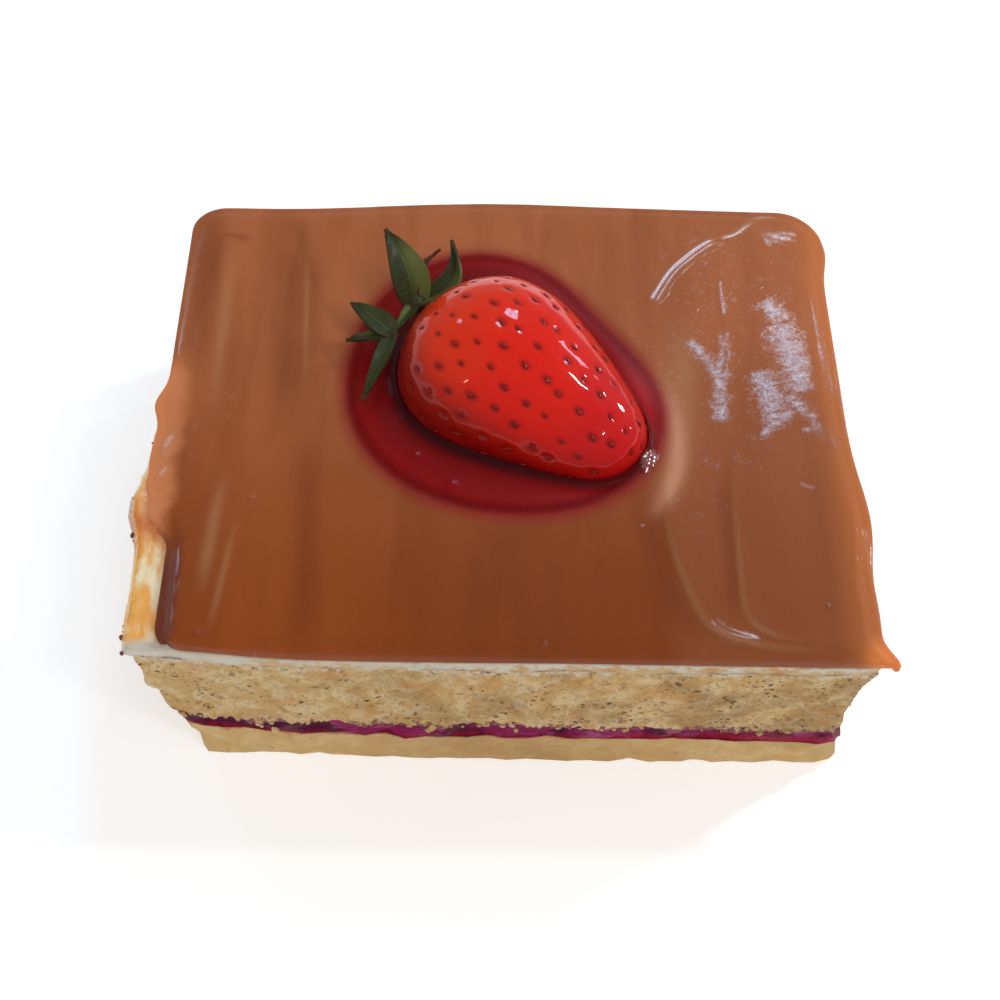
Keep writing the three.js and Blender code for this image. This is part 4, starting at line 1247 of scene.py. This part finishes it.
class CAKE_OT_strawberry(bpy.types.Operator):
    """Models the half strawberry under its clear glaze, and its seeds in their pits"""

    bl_idname = "cake.strawberry"
    bl_label = "Strawberry"

    def execute(self, context):
        sizes = context.scene.cake_sizes
        colours = context.scene.cake_colours
        places = seed_places(sizes.seed_spacing / MM)
        berry = self.skin(sizes, places)
        self.paint_skin(berry, colours)
        settle(berry, "strawberry_half")
        seeds = self.seeds(sizes, places)
        self.paint_seeds(seeds, colours)
        settle(seeds, None)
        return {"FINISHED"}

    def skin(self, sizes, places):
        spots = np.array([berry_surface(turn, arc) for turn, arc, _, _ in places], dtype=float)

        def pit_share(turn, arc):
            """1 in the middle of a seed's pit, 0 away from them. A pit is longer along the berry."""
            here = np.stack(berry_surface(turn, arc), axis=1)
            share = np.zeros(len(here))
            for spot, (_, _, size, _) in zip(spots, places):
                off = (here - spot) / (0.95 * size, 0.62 * size, 0.62 * size)
                share = np.maximum(share, np.exp(-(off ** 2).sum(axis=1)))
            return share

        def place(across, along):
            turn = math.pi * along
            arc = math.pi * across
            here = np.stack(berry_surface(turn, arc), axis=1)
            swell = 0.25 * grain(here, 7, seed=2) * np.sin(turn) * np.sin(arc)
            film = 0.03 * grain(here / (1.5, 1, 1), 1.5, seed=8) * ease(np.sin(arc), 0.05, 0.3)
            depth = pit_share(turn, arc) * sizes.pit_depth / MM
            return on_slice(*berry_surface(turn, arc, depth - swell - film))

        berry = shaped_grid("strawberry_skin", 150, 190, place)
        x, y, z = points_of(berry).T
        along, across = by_berry_axis(x - BERRY_CENTRE[0], y - BERRY_CENTRE[1])
        turn = np.interp(along, berry_profile(BERRY_TURNS)[0], BERRY_TURNS)
        keep_values(berry, "pit", pit_share(turn, np.arctan2((z - GLAZE_TOP) / BERRY_ROUNDNESS, across)))
        close_mesh(berry, 0.00002)
        cap_openings(berry)
        smooth(berry, 50)
        return berry

    def seeds(self, sizes, places):
        deselect_all()
        bpy.ops.mesh.primitive_uv_sphere_add(segments=10, ring_count=6, radius=0.5)
        first = bpy.context.object
        shape = points_of(first)
        # A seed is a drop: pointed towards the stem, and flat.
        shape[:, 1] *= 0.4 * (1 - 0.55 * shape[:, 0] / (0.5 / MM))
        shape[:, 2] *= 0.3
        put_points(first, shape)
        copies = []
        for turn, arc, size, lean in places:
            here = self.at(turn, arc, sizes.pit_depth / MM * 0.95)
            ahead = self.at(turn + 0.03, arc) - self.at(turn - 0.03, arc)
            beside = self.at(turn, arc + 0.03) - self.at(turn, arc - 0.03)
            out = ahead.cross(beside).normalized()
            if out.z < 0:
                out = -out
            front = -ahead.normalized()
            turned = Matrix((front, out.cross(front), out)).transposed().to_4x4()
            place = Matrix.Translation(here * MM) @ turned @ Matrix.Rotation(lean, 4, "Z")
            copies.append(placed_copy(first, place @ Matrix.Scale(sizes.seed_length * size, 4)))
        bpy.data.objects.remove(first)
        seeds = joined("strawberry_seeds", copies)
        smooth(seeds)
        return seeds

    @staticmethod
    def at(turn, arc, depth=0):
        """The place on the slice of a point of the berry's skin, or of one at a depth under it."""
        return Vector(on_slice(*berry_surface(turn, arc, depth)))

    def paint_skin(self, piece, colours):
        paint = Paint(piece.name)
        from_middle = (paint.x - BERRY_CENTRE[0] * MM, paint.y - BERRY_CENTRE[1] * MM)
        along, across = by_berry_axis(*from_middle)
        pit = paint.attribute("pit")
        blotch = paint.clouds(0.006) - 0.5
        stem = paint.fade(along + 0.3 * across + 0.008 * blotch, -0.013, 0.002)
        tip = paint.step(along + 0.25 * across + 0.008 * blotch, 0.004, 0.015)
        # Painted shade: the skin darkens towards the bottom and the left, where it meets the gel.
        low = paint.fade(paint.z + 0.28 * (paint.x - 0.002), 0.0312, 0.0385)
        skin = paint.layers(
            colours.berry,
            (stem * 0.8, colours.berry_shoulder),
            (tip * 0.8, colours.berry_shade),
            (low * 0.8, rgb(104, 4, 9)),
            # Painted shade in the seeds' pits.
            (paint.step(pit, 0.1, 0.9) * 0.7, rgb(132, 8, 8)),
        )
        fibres = paint.clouds(0.0008, place=paint.stretched(1, 1, 0.5))
        paint.finish(
            piece,
            Base_Color=skin,
            Roughness=0.38 + 0.1 * fibres,
            Normal=paint.relief(paint.clouds(0.0016), 0.0001),
            Coat_Weight=0.75,
            Coat_Roughness=0.035,
            Coat_IOR=1.4,
            soft=(0.15, (1, 0.25, 0.15), 0.002),
            Specular_IOR_Level=0.05,
        )

    def paint_seeds(self, piece, colours):
        paint = Paint(piece.name)
        shade = paint.clouds(0.0025, detail=2)
        tint = paint.mix(paint.step(shade, 0.35, 0.65) * 0.6, colours.seed, rgb(150, 24, 10))
        paint.finish(
            piece,
            Base_Color=tint,
            Roughness=0.45 - 0.1 * shade,
            Coat_Weight=0.4,
            Coat_Roughness=0.06,
            Specular_IOR_Level=0.1,
        )


# How far the gel starts from the berry.
SHORE_GAP = 0.12
# Where the gel glints most, by the berry's tip, and its small knobs.
GEL_GLINT = (18.7, -9.2)
GEL_KNOBS = ((-13.1, -2.6), (-4.5, -9.2), (-7.7, -12.8), (-12.6, -8.2))


class CAKE_OT_fruit_gel(bpy.types.Operator):
    """Models the pool of red gel round the strawberry, thin at its rim"""

    bl_idname = "cake.fruit_gel"
    bl_label = "Fruit gel"

    def execute(self, context):
        # Shares of the way from the berry (0) to the rim (1), along the top and back below.
        shares = [0, *np.linspace(0, 1, 34) ** 1.1, 0]
        bottom = len(shares) - 1
        shade = []

        def place(round_share, profile):
            row = np.rint(profile * bottom).astype(int)
            share = np.array(shares)[row]
            shore_x, shore_y = berry_shore(2 * math.pi * (round_share % 1), SHORE_GAP)
            angle = np.arctan2(shore_y - POOL_CENTRE[1], shore_x - POOL_CENTRE[0])
            reach = pool_radius(angle)
            rim_x = POOL_CENTRE[0] + reach * np.cos(angle)
            rim_y = POOL_CENTRE[1] + reach * np.sin(angle)
            x = shore_x + (rim_x - shore_x) * share
            y = shore_y + (rim_y - shore_y) * share
            from_berry = np.hypot(x - shore_x, y - shore_y)
            # The gel is darkest in the berry's shade, at its front and left.
            shaded = 0.55 + 0.45 * np.cos(angle - math.radians(-120))
            shade.append((1 - ease(from_berry, 0.3, 0.8 + 1.6 * shaded)) * shaded)
            # It falls straight to its rim at the right, where it is narrow, and is full elsewhere.
            narrow = ease(np.cos(angle - math.radians(15)), 0, 0.7)
            fullness = (1 - narrow) * np.sqrt(np.clip(1 - share ** 2.5, 0, 1)) + narrow * (1 - share)
            film = 0.02 + 0.36 * fullness
            climb = 0.7 * np.exp(-from_berry / 0.6)
            ripple = 0.08 * np.sin(3.4 * x + 1.6 * y) * np.cos(2.6 * y - 1.5 * x)
            lumps = ripple * dab(x, y, GEL_GLINT, 2.2)
            lumps = lumps + sum(0.22 * dab(x, y, knob, 0.6) for knob in GEL_KNOBS)
            lapping = 0.06 * np.sin(3 * angle + 5 * share) * (1 - share)
            rise = np.where((row == 0) | (row == bottom), 0.01, film + climb + lapping + lumps)
            return x, y, GLAZE_TOP + rise

        piece = shaped_grid("fruit_gel_pool", 260, bottom, place)
        x, y, _ = points_of(piece).T
        keep_values(piece, "inside", -beyond_pool(x, y))
        keep_values(piece, "shade", shade[0])
        knobs = [dab(x, y, knob, 0.8) for knob in GEL_KNOBS]
        keep_values(piece, "gloss", np.max([dab(x, y, GEL_GLINT, 1.7), *knobs], axis=0))
        keep_values(piece, "spark", dab(x, y, GEL_GLINT, 1.9))
        close_mesh(piece, 0.000002)
        smooth(piece, 70)
        self.paint(piece, context.scene.cake_colours)
        settle(piece, "fruit_gel")
        return {"FINISHED"}

    def paint(self, piece, colours):
        paint = Paint(piece.name)
        depth = paint.attribute("inside")
        soft = paint.clouds(0.005)
        back = paint.step(paint.y - paint.x, 0.002, 0.03)
        deep = paint.step(depth + 2.0 * soft, 2, 9) * (0.35 + 0.5 * back)
        tint = paint.layers(
            colours.gel,
            (deep, colours.gel_deep),
            (0.6 * paint.spot((21, -1, 31), 11), rgb(178, 26, 30)),
            (paint.attribute("shade") * 0.95, rgb(44, 3, 8)),
        )
        spark = paint.step(paint.attribute("spark") + 0.8 * (paint.clouds(0.0009) - 0.5), 0.35, 0.65)
        paint.finish(
            piece,
            Base_Color=tint,
            Alpha=0.96 * paint.step(depth + 0.6 * (soft - 0.5), 0.1, 2.8) + 0.8 * spark,
            Roughness=0.3 - 0.22 * paint.attribute("gloss"),
            Coat_Weight=spark,
            Coat_Roughness=0.15,
            Coat_IOR=2.2,
            IOR=1.35,
            Specular_IOR_Level=0.2,
        )


# ---- The calyx ----

HUB = (-12.86, 14.87, 34.6)
KNOT = (-15.8, 9.2, 34.8)
# Each sepal's root, tip, width, arch, bow to its left, fold along its rib, twist, dryness and
# how much painted light pales its lit half.
SEPALS = (
    (HUB, (-17, 21.9, 41.9), 5.4, 0.8, -0.3, 0.35, 0.3, 0.3, 0.55),
    (HUB, (-8, 23, 38.6), 3.4, -0.8, -2.7, 0.7, -0.4, 0.6, 0.35),
    (HUB, (-9.6, 21.6, 38.2), 1.1, 1.2, 0.9, 0.5, 0.6, 1.6, 0),
    (HUB, KNOT, 1.8, 0.5, 0.2, 0.4, 0.1, 0.5, 0.4),
    (KNOT, (-21.6, 13.3, 36.5), 3.6, 0.6, 0.2, 0.3, 0.2, 0.35, 0.05),
    (KNOT, (-22.1, 8.1, 34.8), 2, 0.5, 0.3, 0.3, 0.1, 0.3, 0.25),
    (KNOT, (-19.5, -1.2, 33.6), 2.2, 1.1, 0.3, 0.3, -0.2, 0.6, 0.05),
)


class CAKE_OT_calyx(bpy.types.Operator):
    """Models the strawberry's calyx: thin arched sepals that grow from a hub and a knot"""

    bl_idname = "cake.calyx"
    bl_label = "Calyx"

    def execute(self, context):
        thickness = context.scene.cake_sizes.leaf_thickness
        leaves = [self.sepal(*sepal) for sepal in SEPALS]
        for leaf in leaves:
            solid = leaf.modifiers.new("thickness", "SOLIDIFY")
            solid.thickness = thickness
            solid.offset = 0
            apply_modifiers(leaf)
        hubs = [self.hub(HUB, 1), self.hub(KNOT, 0.6)]
        piece = joined("strawberry_calyx_leaves", [*hubs, *leaves])
        smooth(piece, 60)
        self.paint(piece, context.scene.cake_colours)
        settle(piece, "strawberry_calyx")
        return {"FINISHED"}

    def sepal(self, root, tip, width, arch, bow, fold, twist, dryness, lit_paleness):
        root = np.array(root)
        run = np.array(tip) - root
        side = np.array([-run[1], run[0], 0]) / np.hypot(run[0], run[1])
        up = np.cross(run, side)
        up = up / np.linalg.norm(up)

        def place(across, along):
            w = 2 * across - 1
            blade = np.sin(math.pi * np.minimum(1, 0.16 + 0.84 * along) ** 0.8) ** 0.9
            half = width / 2 * np.maximum(0.04, np.nan_to_num(blade))
            turn = twist * along ** 2
            ripple = 0.12 * np.sin(11 * along + 2.4 * w) * np.abs(w) ** 1.5
            bend = arch * np.sin(math.pi * along) + fold * np.abs(w) * half + ripple
            out_side = w * half * np.cos(turn) + bow * np.sin(math.pi * along)
            out_up = bend + w * half * np.sin(turn)
            frames = zip(root, run, side, up)
            return tuple(r + ahead * along + s * out_side + u * out_up for r, ahead, s, u in frames)

        leaf = shaped_grid("sepal", 12, 30, place)
        keep_values(leaf, "dry", dryness)
        keep_values(leaf, "lit_paleness", lit_paleness)
        return leaf

    def hub(self, centre, size):
        deselect_all()
        bpy.ops.mesh.primitive_uv_sphere_add(segments=20, ring_count=12, radius=0.5)
        hub = bpy.context.object
        shape = points_of(hub) * MM * 2 * size
        put_points(hub, np.stack(on_slice(*(shape * (1.2, 1.7, 1.3)).T, centre), axis=1))
        keep_values(hub, "dry", 1)
        keep_values(hub, "lit_paleness", 0)
        return hub

    def paint(self, piece, colours):
        paint = Paint(piece.name)
        uv = paint.node("UVMap", {"uv_map": "UVMap"})
        across, along, _ = paint.axes(uv)
        dry = paint.attribute("dry")
        middle = abs(across - 0.5)
        rib = paint.fade(middle, 0.015, 0.06)
        veins = paint.node(
            "TexWave",
            {"wave_type": "BANDS", "bands_direction": "Y"},
            {"Vector": uv, "Scale": 4.5, "Distortion": 2.5, "Detail": 2},
            output="Fac",
        )
        blotch = paint.clouds(0.003, detail=4)
        # Painted light: the lit half of each sepal is paler.
        lit_half = paint.step(1 - across + 0.25 * (blotch - 0.5), 0.35, 0.75)
        lit_half = lit_half * paint.fade(along, 0.55, 0.9)
        ends = paint.step(along, 0.88, 1.0) * 0.7 + paint.fade(along, 0.0, 0.16) * 0.8
        rims = paint.step(middle, 0.42, 0.5) * 0.2
        patches = 0.3 * paint.step(blotch, 0.5, 0.7)
        tint = paint.layers(
            colours.leaf,
            (paint.step(blotch, 0.35, 0.65) * 0.6, rgb(38, 38, 16)),
            (veins * 0.05 + rib * 0.3, colours.leaf_rib),
            (lit_half * paint.attribute("lit_paleness"), rgb(116, 122, 62)),
            (dry * (ends + rims + patches), colours.leaf_dry),
            (dry - 1, rgb(92, 24, 22)),
        )
        paint.finish(
            piece,
            Base_Color=tint,
            Roughness=0.5 + 0.2 * blotch,
            Normal=paint.relief(veins * 0.12 + rib + 0.5 * blotch, 0.00015),
            Coat_Weight=0.1,
            Coat_Roughness=0.25,
            Specular_IOR_Level=0.15,
        )


# ---- Crumbs ----

# The largest crumbs' radius in metres.
CRUMB_RADIUS = 0.0006


def crumb_shapes(count, size, seed):
    """A few rough crumbs to copy."""
    shapes = []
    for k in range(count):
        deselect_all()
        bpy.ops.mesh.primitive_ico_sphere_add(subdivisions=2, radius=size)
        crumb = bpy.context.object
        points = points_of(crumb)
        rough = 1 + 0.45 * grain(points, 0.75 * size / MM, seed=seed + k, octaves=2)
        put_points(crumb, points * rough[:, None] * (1, 0.8, 0.7))
        shapes.append(crumb)
    return shapes


def scatter(name, shapes, spots, draw):
    """Copies of the shapes at spots, each a place, a size and the direction it is pressed along."""
    copies = []
    for spot, size, out in spots:
        first = draw.choice(shapes)
        turn = out.to_track_quat("Z", "Y").to_matrix().to_4x4()
        turn = turn @ Matrix.Rotation(draw.uniform(0, 6.28), 4, "Z")
        copies.append(placed_copy(first, Matrix.Translation(spot) @ turn @ Matrix.Scale(size, 4)))
    for shape in shapes:
        bpy.data.objects.remove(shape)
    piece = joined(name, copies)
    smooth(piece)
    return piece


class CAKE_OT_crumbs(bpy.types.Operator):
    """Scatters crumbs along the filling, and a few browned ones on the cream at the left"""

    bl_idname = "cake.crumbs"
    bl_label = "Crumbs"

    def execute(self, context):
        colours = context.scene.cake_colours
        draw = random.Random(11)
        shapes = crumb_shapes(5, CRUMB_RADIUS, 20)
        pale = scatter("sponge_crumbs", shapes, self.by_filling(context, draw), draw)
        keep_values(pale, "hollow_shade", 0.2)
        paint = Paint(pale.name)
        tint, height = crumb_colour(paint, colours, 0.5)
        finish_sponge(paint, pale, tint, height, 0.0002)
        settle(pale, None)

        shapes = crumb_shapes(3, CRUMB_RADIUS, 30)
        browned = scatter("browned_crumbs", shapes, self.on_swell(draw), draw)
        paint = Paint(browned.name)
        tint = paint.mix(paint.clouds(0.001), rgb(64, 20, 16), rgb(150, 78, 40))
        paint.finish(browned, Base_Color=tint, Roughness=0.6 + 0.2 * paint.clouds(0.0006))
        settle(browned, None)
        return {"FINISHED"}

    def by_filling(self, context, draw):
        """Most crumbs hang at the filling's upper edge, in clusters."""
        filling = bpy.data.objects["berry_filling_smear"]
        walls = [vertex for vertex in filling.data.vertices if vertex.normal.z ** 2 < 0.4]
        spots = []
        for _ in range(context.scene.cake_sizes.crumb_count):
            vertex = draw.choice(walls)
            cluster = noise.noise(Vector((*vertex.co.xy, 0)) / (5 * MM))
            high = (vertex.co.z / MM - 8.2) / 1.8 + cluster
            if draw.random() < min(1, max(0, high)):
                size = draw.uniform(0.4, 1.0) ** 1.4
                spots.append((vertex.co + vertex.normal * 0.0001, size, vertex.normal))
        return spots

    def on_swell(self, draw):
        """Three browned crumbs that show beside the cream's outline, and a few small ones."""
        cream = bpy.data.objects["milk_cream_coat"]
        nearest = nearest_finder([vertex.co for vertex in cream.data.vertices])
        spots = []
        places = [(-51.5, -19.2, 28, 0.75), (-49.5, -33.8, 28, 0.65), (-48.4, -36.2, 27.6, 0.6)]
        places += [(-50, draw.uniform(-36, -4), 27.8, draw.uniform(0.15, 0.3)) for _ in range(8)]
        for x, y, z, size in places:
            vertex = cream.data.vertices[nearest(Vector((x, y, z)) * MM)]
            spots.append((vertex.co, size, vertex.normal))
        return spots


# ---- The stage ----

# How far the windows' panes are from the slice, in metres.
PANE_DISTANCE = 0.85
# The camera's place in metres, its turns in degrees and its lens, fitted to the photograph.
CAMERA_PLACE = (-0.00245, -0.12005, 0.1905)
CAMERA_TURNS = (56.66, 0.693, 0.954)
CAMERA_LENS = 53.28


class CAKE_OT_stage(bpy.types.Operator):
    """Sets up the floor, the lights and the camera"""

    bl_idname = "cake.stage"
    bl_label = "Floor, lights and camera"

    def execute(self, context):
        self.floor()
        self.world()
        warm_white = (1, 0.985, 0.96)
        ceiling = self.softbox("ceiling", (-0.1, -0.4, 0.95), (0, 0, 0.02), (1.3, 1.0), 4, warm_white)
        # The ceiling is matt: only the windows' panes show in the glossy films.
        ceiling.visible_glossy = False
        blue = (0.42, 0.7, 1)
        slice_top = Vector((0.015, 0.005, 0.031))
        # Panes of windows: the direction from the slice, the pane's size and its power.
        for name, direction, size, power, tint in (
            ("back pane left", (0.14, 0.62, 0.77), (0.05, 0.13), 0.42, blue),
            ("back pane right", (0.205, 0.61, 0.765), (0.05, 0.13), 0.42, blue),
            ("left window", (-0.5, 0.52, 0.69), (0.06, 0.12), 0.3, blue),
            ("sun glint", (0.24, 0.66, 0.71), (0.014, 0.03), 0.22, (0.75, 0.88, 1)),
            ("lip pane", (0.62, 0.62, 0.47), (0.06, 0.12), 0.35, blue),
            ("gel lamp", (0.58, 0.28, 0.75), (0.04, 0.04), 0.9, (1, 1, 1)),
            ("right window", (0.81, 0.43, 0.39), (0.06, 0.1), 1.1, (1, 1, 1)),
            ("far right window", (0.94, 0.14, 0.3), (0.02, 0.06), 0.2, (1, 1, 1)),
            ("front lamp", (0.5, -0.42, 0.86), (0.1, 0.035), 0.5, (1, 1, 1)),
            ("warm lamp", (-0.57, -0.48, 0.66), (0.02, 0.06), 0.1, (1, 0.8, 0.5)),
        ):
            place = slice_top + PANE_DISTANCE * Vector(direction).normalized()
            self.softbox(name, place, slice_top, size, power, tint)
        self.camera()
        bpy.context.scene.view_settings.view_transform = "Standard"
        return {"FINISHED"}

    def floor(self):
        deselect_all()
        bpy.ops.mesh.primitive_plane_add(size=6, location=(0, 0, 0))
        floor = named("floor")
        paint = Paint("floor")
        paint.finish(
            floor,
            Base_Color=(0.9, 0.9, 0.9),
            Roughness=0.8,
            Specular_IOR_Level=0.1,
            Emission_Color=(1, 1, 1),
            Emission_Strength=0.33,
        )

    def world(self):
        world = bpy.data.worlds.new("studio")
        world.use_nodes = True
        background = world.node_tree.nodes["Background"]
        background.inputs["Color"].default_value = (0.95, 0.97, 1, 1)
        background.inputs["Strength"].default_value = 0.36
        bpy.context.scene.world = world

    def softbox(self, name, place, target, size, power, tint):
        deselect_all()
        bpy.ops.object.light_add(type="AREA", location=place)
        light = bpy.context.object
        light.name = name
        light.data.shape = "RECTANGLE"
        light.data.size, light.data.size_y = size
        light.data.energy = power
        light.data.color = tint
        away = Vector(place) - Vector(target)
        light.rotation_euler = away.to_track_quat("Z", "Y").to_euler()
        return light

    def camera(self):
        """The camera at the photograph's view: 57 degrees down on the slice, from the front."""
        pitch, yaw, roll = (math.radians(angle) for angle in CAMERA_TURNS)
        level = math.cos(pitch)
        forward = Vector((math.sin(yaw) * level, math.cos(yaw) * level, -math.sin(pitch)))
        right = Vector((math.cos(yaw), -math.sin(yaw), 0))
        up = right.cross(forward)
        across = right * math.cos(roll) + up * math.sin(roll)
        upward = up * math.cos(roll) - right * math.sin(roll)
        bpy.ops.object.camera_add(location=(0, 0, 0))
        camera = bpy.context.object
        camera.data.sensor_width = 36
        camera.data.lens = CAMERA_LENS
        camera.data.clip_start = 0.01
        turned = Matrix((across, upward, -forward)).transposed().to_4x4()
        camera.matrix_world = Matrix.Translation(CAMERA_PLACE) @ turned
        bpy.context.scene.camera = camera


# ---- The panel ----

OPERATORS = (
    CAKE_OT_sponge_layers,
    CAKE_OT_filling,
    CAKE_OT_milk_cream,
    CAKE_OT_caramel_glaze,
    CAKE_OT_fruit_gel,
    CAKE_OT_strawberry,
    CAKE_OT_calyx,
    CAKE_OT_crumbs,
    CAKE_OT_stage,
)


class CAKE_PT_slice(bpy.types.Panel):
    """Lists the pieces of the slice, with their sizes and colours"""

    bl_idname = "CAKE_PT_slice"
    bl_label = "Milk cake slice"
    bl_space_type = "VIEW_3D"
    bl_region_type = "UI"
    bl_category = "Milk cake"

    def draw(self, context):
        for operator in OPERATORS:
            self.layout.operator(operator.bl_idname)
        for group in (context.scene.cake_sizes, context.scene.cake_colours):
            box = self.layout.box()
            for name in group.__annotations__:
                box.prop(group, name)


CLASSES = (CakeSizes, CakeColours, *OPERATORS, CAKE_PT_slice)


def register():
    for cls in CLASSES:
        bpy.utils.register_class(cls)
    bpy.types.Scene.cake_sizes = PointerProperty(type=CakeSizes)
    bpy.types.Scene.cake_colours = PointerProperty(type=CakeColours)


def unregister():
    del bpy.types.Scene.cake_sizes
    del bpy.types.Scene.cake_colours
    for cls in reversed(CLASSES):
        bpy.utils.unregister_class(cls)


def main():
    register()
    bpy.ops.cake.sponge_layers()
    bpy.ops.cake.filling()
    bpy.ops.cake.milk_cream()
    bpy.ops.cake.caramel_glaze()
    bpy.ops.cake.fruit_gel()
    bpy.ops.cake.strawberry()
    bpy.ops.cake.calyx()
    bpy.ops.cake.crumbs()
    bpy.ops.cake.stage()


if __name__ == "__main__":
    main()
